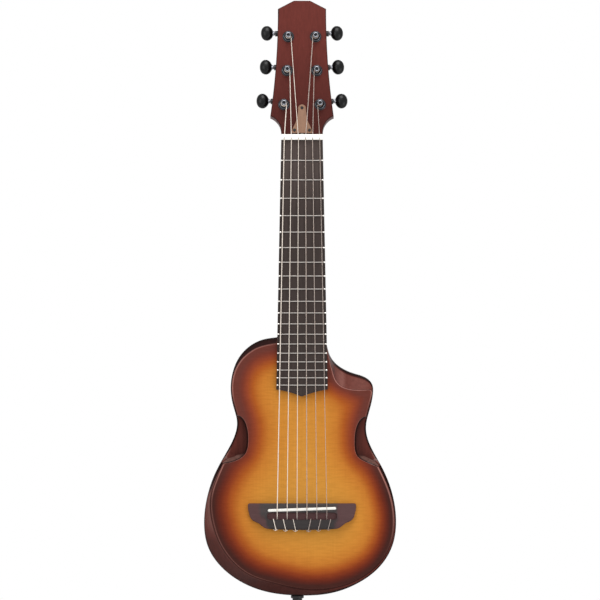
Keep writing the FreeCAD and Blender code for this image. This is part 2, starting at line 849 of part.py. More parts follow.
def nut():
    """The bone nut: its crown falls towards the head, with a slot for each string."""
    half = board_width_at_nut / 2
    section = polygon_face([Vector(-half, 0, 0), Vector(-half, -nut_height, 0),
                            Vector(-half, -nut_height, nut_thickness * nut_crown_share),
                            Vector(-half, -nut_height + nut_back_fall, nut_thickness),
                            Vector(-half, 0, nut_thickness)])
    blank = section.extrude(Vector(2 * half, 0, 0))
    slots = []
    for number in range(1, 7):
        start, end = nut_run(number)
        reach = end.sub(start).normalize() * nut_thickness
        width = string_diameters[number - 1] + nut_slot_clearance
        slots.append(rod(start.sub(reach), end.add(reach), width))
        top = start.sub(reach)
        slots.append(rod(start.sub(Vector(0, 0, nut_thickness)), start, width))
        channel = polygon_face([Vector(start.x - width / 2, start.y, -nut_thickness),
                                Vector(start.x - width / 2, start.y, start.z),
                                Vector(start.x - width / 2, top.y - nut_channel_rise, nut_thickness * 2),
                                Vector(start.x - width / 2, -2 * nut_height, nut_thickness * 2),
                                Vector(start.x - width / 2, -2 * nut_height, -nut_thickness)])
        slots.append(channel.extrude(Vector(width, 0, 0)))
    return blank.cut(slots)


# ---- neck --------------------------------------------------------------------------------------------------
def neck_section(z, depth):
    """A D-shaped section of the neck: flat under the board, half an ellipse behind."""
    half = board_half_width(z)
    sides = sorted((half, depth), reverse=True)
    ellipse = Part.Ellipse(Vector(0, 0, z), *sides)
    turned = Part.ArcOfEllipse(ellipse, 0, math.pi).toShape()
    if half < depth:
        turned = Part.ArcOfEllipse(ellipse, -math.pi / 2, math.pi / 2).toShape()
        turned.rotate(Vector(0, 0, z), Vector(0, 0, 1), 90)
    return Part.Wire([turned, line(Vector(-half, 0, z), Vector(half, 0, z))])


def neck_shaft():
    """The neck from the nut to the body: the heel deepens in a quarter-ellipse sweep."""
    sections = [neck_section(nut_thickness, neck_depth_at_nut), neck_section(-heel_start, neck_depth_at_heel)]
    run = neck_to_body - heel_start
    full_rise = 1 - math.sqrt(1 - heel_sweep ** 2)
    for share in heel_section_shares:
        rise = 1 - math.sqrt(1 - (heel_sweep * share) ** 2)
        depth = neck_depth_at_heel + (heel_depth - neck_depth_at_heel) * rise / full_rise
        sections.append(neck_section(-heel_start - share * run, depth))
    return Part.makeLoft(sections, True, True)


def head_outline():
    """The head seen square to its face: flared ears over a hollow throat, and a faceted top."""
    throat = board_width_at_nut / 2
    ear = head_ear_width / 2
    top = head_top_width / 2
    tip = head_tip_width / 2
    centre_x = throat + head_throat_radius
    centre_z = head_ear_height - math.sqrt(head_throat_radius ** 2 - (centre_x - ear) ** 2)
    start_z = max(centre_z, 0)
    turn = math.radians(head_throat_middle_angle)
    side_z = (head_ear_height + head_top_corner) / 2
    side_x = (ear + top) / 2 - head_side_hollow
    edges = []
    for sign in (-1, 1):
        foot = Vector(sign * throat, 0, start_z)
        corner = Vector(sign * ear, 0, head_ear_height)
        middle = Vector(sign * (centre_x + head_throat_radius * math.cos(turn)), 0,
                        centre_z + head_throat_radius * math.sin(turn))
        shoulder = Vector(sign * top, 0, head_top_corner)
        peak = Vector(sign * tip, 0, head_length)
        edges += [line(Vector(0, 0, 0), Vector(sign * throat, 0, 0)), line(Vector(sign * throat, 0, 0), foot),
                  arc(foot, middle, corner), arc(corner, Vector(sign * side_x, 0, side_z), shoulder),
                  line(shoulder, peak), line(peak, Vector(0, 0, head_length))]
    return Part.Face(Part.Wire(Part.__sortEdges__(edges)))


def head_blank():
    """The head's plate with rounded edges, on its slant behind the nut."""
    plate = head_outline().extrude(Vector(0, head_thickness, 0))
    edges = [edge for edge in plate.Edges
             if edge.BoundBox.YLength < 1e-6 and edge.BoundBox.ZMax > head_throat_radius / 2]
    return on_head(plate.makeFillet(head_edge_radius, edges))


def truss_axis(z_start, z_end, diameter):
    """A round bar on the truss rod's axis."""
    return rod(Vector(0, truss_rod_depth, z_start), Vector(0, truss_rod_depth, z_end), diameter)


def truss_channel():
    """The channel under the fretboard for the rod, its anchor and its nut, open at the head's face."""
    half = truss_rod_diameter / 2 + truss_channel_clearance
    anchor = truss_anchor_width / 2 + truss_channel_clearance
    end = nut_thickness + truss_rod_end_room()
    pocket = truss_nut_diameter / 2 + truss_pocket_clearance
    rod_slot = box((-half, half), (-1, truss_rod_depth), (truss_rod_foot, 0))
    anchor_slot = box((-anchor, anchor), (-1, truss_rod_depth + anchor),
                      (truss_rod_foot, truss_rod_foot + truss_anchor_length + truss_channel_clearance))
    round_slot = truss_axis(truss_rod_foot, end, 2 * half)
    nut_slot = box((-pocket, pocket), (-2 * truss_rod_depth, truss_rod_depth),
                   (nut_thickness, nut_thickness + truss_pocket_length))
    nut_floor = truss_axis(nut_thickness, nut_thickness + truss_pocket_length, 2 * pocket)
    return [rod_slot, anchor_slot, round_slot, nut_slot, nut_floor]


def truss_rod_end_room():
    """How far the rod's plain end stands past the back of the nut, inside its adjusting nut."""
    return truss_nut_length - truss_hex_depth


def neck():
    """Neck, heel, tenon and head in one piece of mahogany."""
    tenon = box((-tenon_width / 2, tenon_width / 2), (0, tenon_depth),
                (-neck_to_body - tenon_length, -neck_to_body + 1))
    nut_seat = box((-board_width_at_nut, board_width_at_nut), (-board_width_at_nut, 0), (-1, nut_thickness))
    blank = fuse_all([neck_shaft(), tenon, head_blank()]).cut(nut_seat)
    cuts = truss_channel() + [on_head(shape) for shape in cover_screw_shapes()]
    hole = bushing_tube_diameter + 2 * bushing_hole_clearance
    bore = rod(Vector(0, -1, 0), Vector(0, head_thickness + 1, 0), hole)
    for number in range(1, 7):
        cuts += [on_head(bore, number), on_head(tuner_screw(), number)]
    return blank.cut(cuts)


# ---- truss rod and cover -----------------------------------------------------------------------------------
def truss_rod():
    """The rod with its square anchor at the body end."""
    anchor = truss_anchor_width / 2
    block = box((-anchor, anchor), (0, truss_rod_depth + anchor),
                (truss_rod_foot, truss_rod_foot + truss_anchor_length))
    bar = truss_axis(truss_rod_foot, nut_thickness + truss_rod_end_room(), truss_rod_diameter)
    return fuse_all([bar, block])


def truss_nut():
    """The adjusting nut: a round barrel on the rod with a hexagon socket towards the head."""
    start = nut_thickness + truss_channel_clearance
    end = nut_thickness + truss_nut_length + truss_channel_clearance
    barrel = truss_axis(start, end, truss_nut_diameter)
    bore = truss_axis(start - 1, nut_thickness + truss_rod_end_room() + truss_channel_clearance,
                      truss_rod_diameter + 2 * truss_nut_running_clearance)
    socket = hexagon_prism(truss_hex_size, truss_hex_depth + 1)
    socket.rotate(Vector(0, 0, 0), Vector(1, 0, 0), -90)
    socket.translate(Vector(0, truss_rod_depth, end - truss_hex_depth + 1))
    return barrel.cut([bore, socket])


def hexagon_prism(flats, height):
    """A hexagon bar that runs from the origin towards -Y."""
    radius = flats / math.sqrt(3)
    angles = [k * math.pi / 3 for k in range(6)]
    corners = [Vector(radius * math.cos(angle), 0, radius * math.sin(angle)) for angle in angles]
    return polygon_face(corners).extrude(Vector(0, -height, 0))


def cover_screw_places():
    """The three screws of the cover: one near its top and two near its foot."""
    foot = cover_gap_to_nut + cover_screw_inset
    top = cover_gap_to_nut + cover_length - cover_top_width / 2 + cover_top_screw_rise
    side = cover_foot_width / 2 - cover_screw_inset
    return ((0, top), (-side, foot), (side, foot))


def cover_screw_shapes():
    """The cover's screws, drawn flat on the head: a low domed head over a shank."""
    shapes = []
    for x, height in cover_screw_places():
        seat = -cover_thickness
        head = rod(Vector(x, seat, height), Vector(x, seat - cover_screw_head_height, height),
                   cover_screw_head_diameter)
        head = head.makeChamfer(cover_screw_head_height * cover_screw_rounding, [head.Edges[0]])
        shank = rod(Vector(x, seat - cover_screw_head_height / 2, height),
                    Vector(x, seat + cover_screw_length, height), cover_screw_shank_diameter)
        shapes.append(fuse_all([head, shank]))
    return shapes


def truss_cover():
    """The wooden cover: a wide foot at the nut, an ogee on each side and a round top."""
    foot = cover_gap_to_nut
    round_z = foot + cover_length - cover_top_width / 2
    half = cover_foot_width / 2
    top = cover_top_width / 2
    edges = [line(Vector(-half, 0, foot), Vector(half, 0, foot))]
    for sign in (-1, 1):
        rise = round_z - foot
        edges.append(spline([Vector(sign * (top + left * (half - top)), 0, foot + share * rise)
                             for left, share in cover_ogee_shares]))
    edges.append(arc(Vector(-top, 0, round_z), Vector(0, 0, round_z + top), Vector(top, 0, round_z)))
    plate = Part.Face(Part.Wire(Part.__sortEdges__(edges))).extrude(Vector(0, -cover_thickness, 0))
    rim = [edge for edge in plate.Edges if edge.BoundBox.YMax < -cover_thickness / 2]
    plate = plate.makeFillet(cover_edge_radius, rim)
    return on_head(plate.cut(cover_screw_shapes()))


# ---- tuners, each drawn for the treble side with its post at the origin of the head's face -----------------
def worm():
    """The worm, along Z and centred: a core with a helical thread."""
    half = worm_pitch * worm_turns / 2
    flank = math.tan(math.radians(pressure_angle))
    mid = worm_pitch_diameter / 2
    tooth = worm_pitch / 2 - gear_backlash / 2
    tip = tooth / 2 - (worm_outer - mid) * flank
    base = worm_core - worm_thread_overlap
    root = tooth / 2 + (mid - base) * flank
    helix = Part.makeHelix(worm_pitch, 2 * half, mid)
    helix.translate(Vector(0, 0, -half))
    corners = [Vector(base, 0, -half - root), Vector(worm_outer, 0, -half - tip),
               Vector(worm_outer, 0, -half + tip), Vector(base, 0, -half + root)]
    profile = Part.makePolygon(corners + [corners[0]])
    thread = Part.Wire(helix).makePipeShell([profile], True, True)
    core = Part.makeCylinder(worm_core, 2 * gear_half, Vector(0, 0, -gear_half))
    return core.fuse(thread)


def worm_shaft():
    """The shaft: worm, journal in the collar, tail in the case wall and a seat for the button."""
    shaft = worm()
    shaft.rotate(Vector(0, 0, 0), Vector(0, 1, 0), 90)
    journal = rod(Vector(gear_half, 0, 0), Vector(knob_start + knob_seat_depth, 0, 0), shaft_journal_diameter)
    tail = rod(Vector(-case_side + shaft_end_play, 0, 0), Vector(-gear_half, 0, 0), shaft_tail_diameter)
    whole = fuse_all([shaft, journal, tail])
    whole.translate(Vector(0, gear_depth, gear_distance))
    return whole.cut(knob_screw())


def knob_screw():
    """The screw that holds a button on its shaft."""
    end = knob_start + knob_length
    crown = end - knob_screw_recess
    head = rod(Vector(crown - knob_screw_head_height, gear_depth, gear_distance),
               Vector(crown, gear_depth, gear_distance), knob_screw_head_diameter)
    shank_end = crown - knob_screw_head_height / 2
    shank = rod(Vector(knob_start + knob_seat_depth / 2, gear_depth, gear_distance),
                Vector(shank_end, gear_depth, gear_distance), knob_screw_shank_diameter)
    return fuse_all([head, shank])


def tuner_knob():
    """The oval button, well rounded all the way round."""
    centre = Vector(knob_start + knob_length / 2, gear_depth - knob_depth / 2, gear_distance)
    oval = Part.Ellipse(Vector(0, 0, 0), knob_height / 2, knob_length / 2).toShape()
    button = Part.Face(Part.Wire([oval])).extrude(Vector(0, 0, knob_depth))
    button = button.makeFillet(knob_depth * knob_rounding, [button.Edges[0], button.Edges[2]])
    button.rotate(Vector(0, 0, 0), Vector(0, 0, 1), 90)
    button.rotate(Vector(0, 0, 0), Vector(1, 0, 0), -90)
    button.translate(centre)
    seat = rod(Vector(knob_start - 1, gear_depth, gear_distance),
               Vector(knob_start + knob_seat_depth, gear_depth, gear_distance), shaft_journal_diameter)
    end = knob_start + knob_length
    bore = rod(Vector(end - knob_screw_recess - knob_screw_head_height, gear_depth, gear_distance),
               Vector(end + 1, gear_depth, gear_distance), knob_screw_head_diameter)
    return button.cut([seat, bore, knob_screw()])


def wheel_gap():
    """What one gap between two teeth takes away, tilted to follow the worm's lead."""
    flank = math.tan(math.radians(pressure_angle))
    width = worm_pitch / 2 + gear_backlash / 2
    over = wheel_outer + worm_addendum
    low = width / 2 - (gear_radius - wheel_root) * flank
    high = width / 2 + (over - gear_radius) * flank
    face = polygon_face([Vector(-low, -wheel_width, wheel_root), Vector(low, -wheel_width, wheel_root),
                         Vector(high, -wheel_width, over), Vector(-high, -wheel_width, over)])
    cutter = face.extrude(Vector(0, 2 * wheel_width, 0))
    lead = math.degrees(math.atan(worm_pitch / (math.pi * worm_pitch_diameter)))
    cutter.rotate(Vector(0, 0, 0), Vector(0, 0, 1), -lead)
    return cutter


def worm_wheel():
    """The toothed wheel on the post."""
    blank = rod(Vector(0, -wheel_width / 2, 0), Vector(0, wheel_width / 2, 0), 2 * wheel_outer)
    cuts = [rod(Vector(0, -wheel_width, 0), Vector(0, wheel_width, 0), post_wheel_seat_diameter)]
    for tooth in range(wheel_teeth):
        gap = wheel_gap()
        gap.rotate(Vector(0, 0, 0), Vector(0, 1, 0), tooth * 360 / wheel_teeth)
        cuts.append(gap)
    wheel = blank.cut(cuts)
    wheel.translate(Vector(0, gear_depth, 0))
    return wheel


def post_bar(diameter, start, end):
    """A round bar on a post's axis, between two depths behind the head's face."""
    return rod(Vector(0, start, 0), Vector(0, end, 0), diameter)


def string_post():
    """The post: a waist for the string, a journal in the bushing and a riveted seat for the wheel."""
    wheel_front = gear_depth - wheel_width / 2
    wheel_back = gear_depth + wheel_width / 2
    journal = post_bar(post_diameter, -post_waist_bottom, wheel_front)
    waist = post_bar(post_waist_diameter, -post_waist_bottom - post_waist_length, 0)
    top = post_bar(post_diameter, -post_height, -post_waist_bottom - post_waist_length)
    top = top.makeChamfer(post_top_chamfer, [top.Edges[0]])
    seat = post_bar(post_wheel_seat_diameter, 0, wheel_back)
    rivet = post_bar(post_rivet_diameter, wheel_back, wheel_back + post_rivet_height)
    height = -post_waist_bottom - post_waist_length + post_string_hole
    hole = rod(Vector(0, height, -post_diameter), Vector(0, height, post_diameter), post_string_hole)
    centre = post_bar(post_centre_hole, -post_height - 1, -post_height + post_centre_hole_depth)
    return fuse_all([journal, waist, top, seat, rivet]).cut([hole, centre])


def tuner_bushing():
    """The bushing: a hexagon head on the face over a tube through the head."""
    head = hexagon_prism(bushing_flats, bushing_head_height)
    round_edge = post_bar(bushing_flats * bushing_corner_share, -bushing_head_height, 0)
    head = head.common(round_edge)
    head.translate(Vector(0, -washer_thickness, 0))
    tube = post_bar(bushing_tube_diameter, -washer_thickness - bushing_head_height / 2, head_thickness)
    bore = post_bar(post_diameter + 2 * post_running_clearance, -2 * post_height, 2 * head_thickness)
    return fuse_all([head, tube]).cut(bore)


def tuner_washer():
    """The washer between the bushing's head and the face."""
    return post_bar(washer_diameter, -washer_thickness, 0).cut(
        post_bar(bushing_tube_diameter, -1 - washer_thickness, 1))


def case_box(depth_range):
    """The case's round-cornered block between two depths behind the head's face."""
    block = box((-case_side, case_side), depth_range, (-case_inner - housing_wall, case_top))
    corners = [edge for edge in block.Edges if edge.BoundBox.YLength > 1e-6]
    return block.makeFillet(housing_corner_radius, corners)


def tuner_housing():
    """The die-cast case behind the head, with its collar for the shaft and an ear for its screw."""
    outer = case_box((head_thickness, case_depth))
    floor = head_thickness + housing_floor
    wheel_room = post_bar(2 * case_inner, floor, case_depth + 1)
    reach = gear_half + shaft_end_play
    worm_room = box((-reach, reach), (gear_depth - worm_outer - gear_clearance, case_depth + 1),
                    (0, gear_distance + worm_outer + gear_clearance))
    axis_y = Vector(0, gear_depth, gear_distance)
    collar = rod(axis_y, axis_y.add(Vector(collar_end, 0, 0)), collar_diameter)
    bore = rod(axis_y, axis_y.add(Vector(collar_end + 1, 0, 0)),
               shaft_journal_diameter + 2 * shaft_running_clearance)
    tail = rod(axis_y.sub(Vector(case_side + 1, 0, 0)), axis_y,
               shaft_tail_diameter + 2 * shaft_running_clearance)
    post_hole = post_bar(post_diameter + 2 * post_running_clearance, 0, floor + 1)
    foot = -case_inner - housing_wall
    ear = box((-tuner_ear_width / 2, tuner_ear_width / 2),
              (head_thickness, head_thickness + tuner_ear_thickness), (foot - tuner_ear_length, foot + 1))
    return fuse_all([outer, collar, ear]).cut([wheel_room, worm_room, bore, tail, post_hole, tuner_screw()])


def tuner_cover():
    """The plate that closes the back of the case."""
    lid = case_box((case_depth, case_depth + housing_lid))
    rim = [edge for edge in lid.Edges if edge.BoundBox.YMin > case_depth + housing_lid / 2]
    return lid.makeFillet(housing_lid * housing_lid_rounding, rim)


def tuner_screw():
    """The screw through the case's ear into the head."""
    seat = head_thickness + tuner_ear_thickness
    z = -case_inner - housing_wall - tuner_ear_length / 2
    head = rod(Vector(0, seat, z), Vector(0, seat + tuner_screw_head_height, z), tuner_screw_head_diameter)
    shank = rod(Vector(0, seat + tuner_screw_head_height / 2, z), Vector(0, seat - tuner_screw_length, z),
                tuner_screw_diameter)
    return fuse_all([head, shank])


# ---- strings -----------------------------------------------------------------------------------------------
def wrap_bottom():
    """How far above the face the lowest turn on a post starts."""
    return post_waist_bottom + wrap_above_waist_foot


def string_wrap(number):
    """The turns of a string on its post."""
    thickness = string_diameters[number - 1]
    start = -wrap_bottom() - wrap_turns * thickness
    turns = post_bar(post_waist_diameter + 2 * thickness, start, -wrap_bottom())
    return turns.cut(post_bar(post_waist_diameter, start - 1, 1))


def string_head_end(number):
    """Where the free string ends beside its turns, and its height over the face."""
    thickness = string_diameters[number - 1]
    row = string_row(number)
    across = post_waist_diameter / 2 + thickness / 2
    outer = post_waist_diameter / 2 + thickness
    clear = math.sqrt(outer ** 2 - (across - thickness / 2) ** 2) + wrap_gap
    x = string_side(number) * (post_offsets[row] - across)
    height = first_post_height + row * post_pitch - clear
    return head_point(x, -wrap_bottom() - thickness / 2, height)


def nut_run(number):
    """The string's bend on the nut and its end by the post."""
    bend = Vector(spread(number, nut_string_pitch), nut_string_y, nut_thickness * nut_bend_share)
    return bend, string_head_end(number)


def saddle_crossing(number):
    """The middle of a string over the saddle's crown."""
    x = spread(number, saddle_string_pitch)
    z = saddle_z + x * math.tan(math.radians(saddle_slant))
    return Vector(x, -saddle_top - string_diameters[number - 1] / 2, z)


def string_points(number):
    """A string's course: post, nut, saddle, through the tie block, up its rear and forward over its top."""
    thickness = string_diameters[number - 1]
    bend, end = nut_run(number)
    crossing = saddle_crossing(number)
    x = crossing.x
    outward = string_side(number)
    rear = bridge_rear_z(x) - thickness
    front = saddle_z - tie_block_front + thickness / 2 + tie_clearance
    top = -bridge_height - thickness / 2 - tie_clearance
    return [end, bend, crossing, Vector(x, tie_hole_y(), front), Vector(x, tie_hole_y(), rear),
            Vector(x + outward * tie_rear_lean, top, rear), Vector(x + outward * tie_front_lean, top, front),
            Vector(x + outward * tie_front_lean, tie_hole_y() - tie_tuck_thicknesses * thickness, front)]


def bridge_rear_z(x):
    """The height of the bowed rear edge of the bridge at a distance from the centre line."""
    rear = saddle_z - bridge_rear_margin
    sag = bridge_heel_z() - rear
    radius = (bridge_wing_start ** 2 + sag ** 2) / (2 * sag)
    return rear + radius - math.sqrt(radius ** 2 - x ** 2)


def string(number):
    """A string as round runs with ball joints at its bends."""
    thickness = string_diameters[number - 1]
    points = string_points(number)
    pieces = [rod(start, end, thickness) for start, end in zip(points, points[1:])]
    pieces += [Part.makeSphere(thickness / 2, point) for point in points[1:-1]]
    return fuse_all(pieces)


# ---- the whole part ----------------------------------------------------------------------------------------
def all_nodes():
    """Every sub-part by the name of its node."""
    nodes = {
        "body_block": body_block(),
        "soundboard": soundboard(),
        "top_braces": top_braces(),
        "bridge_plate": bridge_plate(),
        "bridge": bridge(),
        "saddle": saddle(),
        "pickup_strip": pickup_strip(),
        "pickup_lead": pickup_lead(),
        "jack_barrel": jack_barrel(),
        "jack_strap_pin": jack_strap_pin(),
        "jack_inner_nut": jack_inner_nut(),
        "jack_contacts": jack_contacts(),
        "neck": neck(),
        "fretboard": fretboard(),
        "frets": frets(),
        "nut": nut(),
        "truss_rod": truss_rod(),
        "truss_nut": truss_nut(),
        "truss_cover": truss_cover(),
        "truss_cover_screws": on_head(Part.makeCompound(cover_screw_shapes())),
        "tuner_housings": at_every_tuner(tuner_housing()),
        "tuner_covers": at_every_tuner(tuner_cover()),
        "tuner_bushings_and_washers": at_every_tuner(Part.makeCompound([tuner_bushing(), tuner_washer()])),
        "tuner_screws": at_every_tuner(tuner_screw()),
    }
    moving = {
        "tuner_knob": tuner_knob(),
        "worm_shaft": Part.makeCompound([worm_shaft(), knob_screw()]),
        "worm_wheel": worm_wheel(),
        "string_post": string_post(),
    }
    for number in range(1, 7):
        for name, shape in moving.items():
            nodes["%s_%d" % (name, number)] = on_head(shape, number)
        nodes["string_wrap_%d" % number] = on_head(string_wrap(number), number)
        nodes["string_%d" % number] = string(number)
    return nodes


def main():
    """Write one STEP file for each sub-part."""
    os.makedirs("parts", exist_ok=True)
    for name, shape in all_nodes().items():
        if not shape.isValid():
            print("not valid:", name)
        shape.exportStep("parts/%s.step" % name)


main()
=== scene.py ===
"""A small nylon-string guitar with a cutaway: its looks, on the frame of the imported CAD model."""
import math

import bmesh
import bpy
import numpy as np
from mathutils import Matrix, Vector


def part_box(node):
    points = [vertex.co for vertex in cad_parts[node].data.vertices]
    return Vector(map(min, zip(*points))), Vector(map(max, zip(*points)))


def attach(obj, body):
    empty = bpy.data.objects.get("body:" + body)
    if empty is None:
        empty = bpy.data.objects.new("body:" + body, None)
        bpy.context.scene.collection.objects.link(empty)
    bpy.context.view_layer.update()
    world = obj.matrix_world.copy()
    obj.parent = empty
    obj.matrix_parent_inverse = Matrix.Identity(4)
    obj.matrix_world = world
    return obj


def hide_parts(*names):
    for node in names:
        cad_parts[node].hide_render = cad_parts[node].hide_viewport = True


bl_info = {
    "name": "Small Nylon-String Guitar",
    "version": (1, 0, 0),
    "blender": (4, 5, 0),
    "location": "3D View > Sidebar > Guitar",
    "description": "Builds the guitar's body, bridge, strings, tuners and studio on the packed frame",
    "category": "Object",
}

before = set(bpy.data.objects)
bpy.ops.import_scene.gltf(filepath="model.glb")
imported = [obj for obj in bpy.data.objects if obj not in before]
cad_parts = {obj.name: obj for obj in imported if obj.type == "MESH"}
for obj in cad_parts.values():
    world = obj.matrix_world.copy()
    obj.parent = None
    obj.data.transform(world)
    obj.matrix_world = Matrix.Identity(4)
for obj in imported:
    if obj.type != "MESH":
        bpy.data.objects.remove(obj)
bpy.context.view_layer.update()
MM = 0.001
# Rounded corners: the most that a radius takes of the shorter line beside it, and how far past the
# rounding, in radii, the point lies that keeps the flat beyond it flat.
MOST_ROUNDING = 0.42
HOLD = 1.16


def colour(red, green, blue):
    """A display colour given from 0 to 255, as the linear colour that a shader takes."""
    share = np.array([red, green, blue]) / 255.0
    linear = np.where(share <= 0.04045, share / 12.92, ((share + 0.055) / 1.055) ** 2.4)
    return tuple(float(value) for value in linear)


# ---- shape of the body, in millimetres ----
NECK_JOINT = -232.3
BODY_DEPTH = 46.0
BACK_CHAMFER = 5.0
# Side of the body: distance from the centre line and from the neck joint, then the top's edge there, then the
# depth of the bevel between the two.
OUTLINE = np.array([
    (-29.4, 0.0, -29.4, -7.3, 9.0),
    (-47.0, -3.0, -46.5, -10.7, 9.0),
    (-62.0, -10.7, -58.2, -15.8, 7.5),
    (-74.5, -24.3, -70.6, -26.4, 5.0),
    (-81.4, -40.7, -78.9, -41.2, 3.0),
    (-83.9, -60.7, -81.8, -60.7, 2.5),
    (-81.2, -79.5, -78.9, -79.0, 2.5),
    (-76.5, -100.7, -74.1, -100.7, 2.5),
    (-81.3, -120.7, -78.8, -121.9, 2.5),
    (-92.7, -141.9, -89.5, -143.8, 3.0),
    (-103.6, -163.1, -99.0, -164.7, 5.0),
    (-111.2, -186.0, -106.0, -186.6, 9.0),
    (-115.4, -219.5, -104.0, -218.9, 18.0),
    (-110.6, -247.8, -93.5, -246.6, 22.0),
    (-94.1, -271.9, -74.7, -269.4, 22.0),
    (-68.7, -290.1, -53.5, -282.2, 19.0),
    (-40.0, -300.3, -30.6, -288.9, 14.0),
    (-3.5, -304.1, -2.4, -295.0, 10.0),
    (34.1, -301.2, 32.3, -295.0, 6.0),
    (67.0, -288.7, 64.1, -285.4, 3.5),
    (92.3, -268.9, 89.2, -266.8, 2.5),
    (106.5, -244.8, 103.4, -243.8, 2.5),
    (110.7, -216.0, 108.0, -216.0, 2.5),
    (106.1, -183.3, 103.0, -184.2, 2.5),
    (93.9, -152.5, 90.2, -154.4, 2.5),
    (81.9, -130.6, 79.3, -132.1, 2.5),
    (75.4, -107.8, 72.9, -107.8, 2.5),
    (79.2, -86.6, 76.8, -86.0, 2.5),
    (83.5, -66.6, 81.4, -68.0, 2.5),
    (82.2, -54.4, 80.3, -62.3, 7.0),
    (75.9, -48.0, 73.5, -62.6, 18.0),
    (61.2, -42.6, 59.4, -62.1, 22.0),
    (47.6, -36.7, 47.1, -58.6, 24.0),
    (38.6, -29.7, 39.1, -50.8, 23.0),
    (32.5, -20.5, 35.2, -39.6, 19.0),
    (29.3, -9.6, 31.8, -26.6, 14.0),
    (26.5, 0.0, 28.2, -10.1, 9.0),
])
# Inner edges of the two waist scoops, measured like the outline.
BASS_SCOOP = np.array([(-82.0, -91.0), (-71.8, -93.1), (-65.9, -102.0), (-63.2, -120.7),
                       (-66.5, -136.6), (-78.8, -145.5), (-97.0, -149.0)])
TREBLE_SCOOP = np.array([(82.0, -91.5), (70.6, -94.8), (64.4, -104.5), (61.8, -124.0),
                         (65.0, -139.5), (76.5, -147.2), (92.0, -153.5)])
SCOOP_WALL_DEPTH = 7.0
SCOOP_FLOOR_SLOPE = math.radians(24.0)
# The share of a floor's depth that is lost where it rises, and the shares of the way down a scoop where its
# sill and that rise start and over which they grow.
SCOOP_RUN_OUT = 0.78
SILL_START, SILL_GROWTH = 0.62, 0.14
RISE_START, RISE_GROWTH = 0.78, 0.2
# The middle of the top, the ends of the spine that its rings shrink towards, and how far from it they stop.
PLATE_CENTRE = (0.0, -138.0)
SPINE = (-235.0, -75.0)
SPINE_REACH = 20.0
PLATE_THICKNESS = 1.3
# How deep the body starts beside the top, and the rows of the outline between which the forearm's facet lies.
RIM_DROP = 0.3
FOREARM_ROWS = (9.5, 18.5)
# Rows of the outline and a value at each. The stain on the bevel, with painted light and shade in it where
# the
#  bevels face towards or away from the lamps: 1 where it is rubbed back to the wood and lightest, 0 where it
#  is left, -1 where it is darkest, as painted shade.
BEVEL_STAIN_AND_SHADE = ((0, 4, 5.5, 7, 9.5, 10.4, 11, 12, 12.7, 14, 15, 17, 19, 21, 22, 23, 28.2, 29, 30, 31, 31.6, 32,
               32.6, 33.3, 34, 36),
              (-0.5, -0.5, -0.2, -0.3, -0.7, -0.6, 0.9, 0.8, 0.3, 0.2, 0.1, 0.1, 0.35, 0.35, 0.2, -0.6, -0.1,
               0.5, 0.65, 0.6, 0.5, 0.95, 0.7, 0.25, 0.1, 0.0))
# How clear the painted highlight along the top's edge is.
EDGE_HIGHLIGHT = ((0, 2, 4, 5, 6, 7, 9, 9.6, 10.6, 11.2, 13, 15, 16, 17, 20, 21, 22, 24, 26, 27, 27.7, 28.3, 29,
              30, 33, 36),
             (0.4, 0.5, 0.7, 0.75, 0.2, 0.1, 0.5, 0.8, 0.8, 0.35, 0.45, 0.35, 0.15, 0.05, 0.0, 0.1, 0.45,
              0.95, 0.6, 0.15, 0.4, 0.8, 0.4, 0.85, 0.95, 0.5))
# How far towards the side the burst's edge lies, the share by which the burst widens with each millimetre
# towards the bass side, and how much further off than it lies a scoop's edge counts.
SPRAY_LINE = ((0, 30.2, 31.2, 35, 36), (0.0, 0.0, 0.35, 0.35, 0.0))
SPRAY_LEAN = 0.0014
SCOOP_SPRAY_GAP = 10.0
# The facet below the top's edge: the most it takes of the bevel's width, and its slope. Then a scoop's wall:
# how far out its foot lies, and the most that this takes of the scoop's width.
FACET_SHARE = 0.45
FACET_SLOPE = 0.28
LIP_WIDTH = 1.6
LIP_SHARE = 0.55
# The gap between the top's edge and the body, and how far out and how deep a scoop's wall bends.
JOINT_GAP = 0.05
WALL_LEAN = 0.7
WALL_TOP = 2.7
# The painted shade along the rim of a bevel: its width, how much wider it is for each millimetre by which a
#  bevel is deeper than most, and how deep most bevels are.
RIM_WIDTH = 3.8
RIM_WIDENING = 0.16
MOST_BEVELS = 2.5
# How rubbed or dark other places of the body are, on the scale of the stain above; the dark lips and walls of
#  the scoops and the dark rim are painted shade.
SCOOP_LIP = -0.8
SCOOP_WALL = -0.35
SCOOP_FLOOR = 0.32
SCOOP_CORNERS = 0.1
RIM_PAINTED_SHADE = -0.85
BACK_EDGE_STAIN = 0.1
BACK_STAIN = 0.22
# How far down the side the painted shade of the rim fades.
RIM_SHADE_DEPTH = 4.0

# ---- strings, bridge and head, in millimetres ----
SCALE_LENGTH = 433.0
FRETS = 19
BOARD_WIDTHS = (48.9, 60.6)
BOARD_LENGTH = 293.6
BOARD_THICKNESS = 6.0
CROWN_WIDTH = 1.9
CROWN_HEIGHT = 1.0
STRING_DIAMETERS = (0.71, 0.82, 1.02, 0.74, 0.89, 1.09)
NUT_PITCH = 8.33
SADDLE_PITCH = 11.65
SADDLE_Z = -434.5
SADDLE_TOP = 12.0
SADDLE_SLANT = math.radians(1.9)
STRING_Y_AT_NUT = -7.9
NUT_BEND_Z = 1.3
BRIDGE_HEIGHT = 8.5
BRIDGE_FOOT = 0.02
BRIDGE_ROUNDING = 1.3
TIE_HOLE_Y = -5.7
TIE_GAP = 0.05
TIE_FRONT = 12.1
TIE_REAR_LEAN = 1.5
TIE_FRONT_LEAN = 4.6
HEAD_ORIGIN = np.array([0.0, -1.5, 6.5])
HEAD_ANGLE = math.radians(12.0)
FIRST_POST = 35.9
POST_PITCH = 41.1
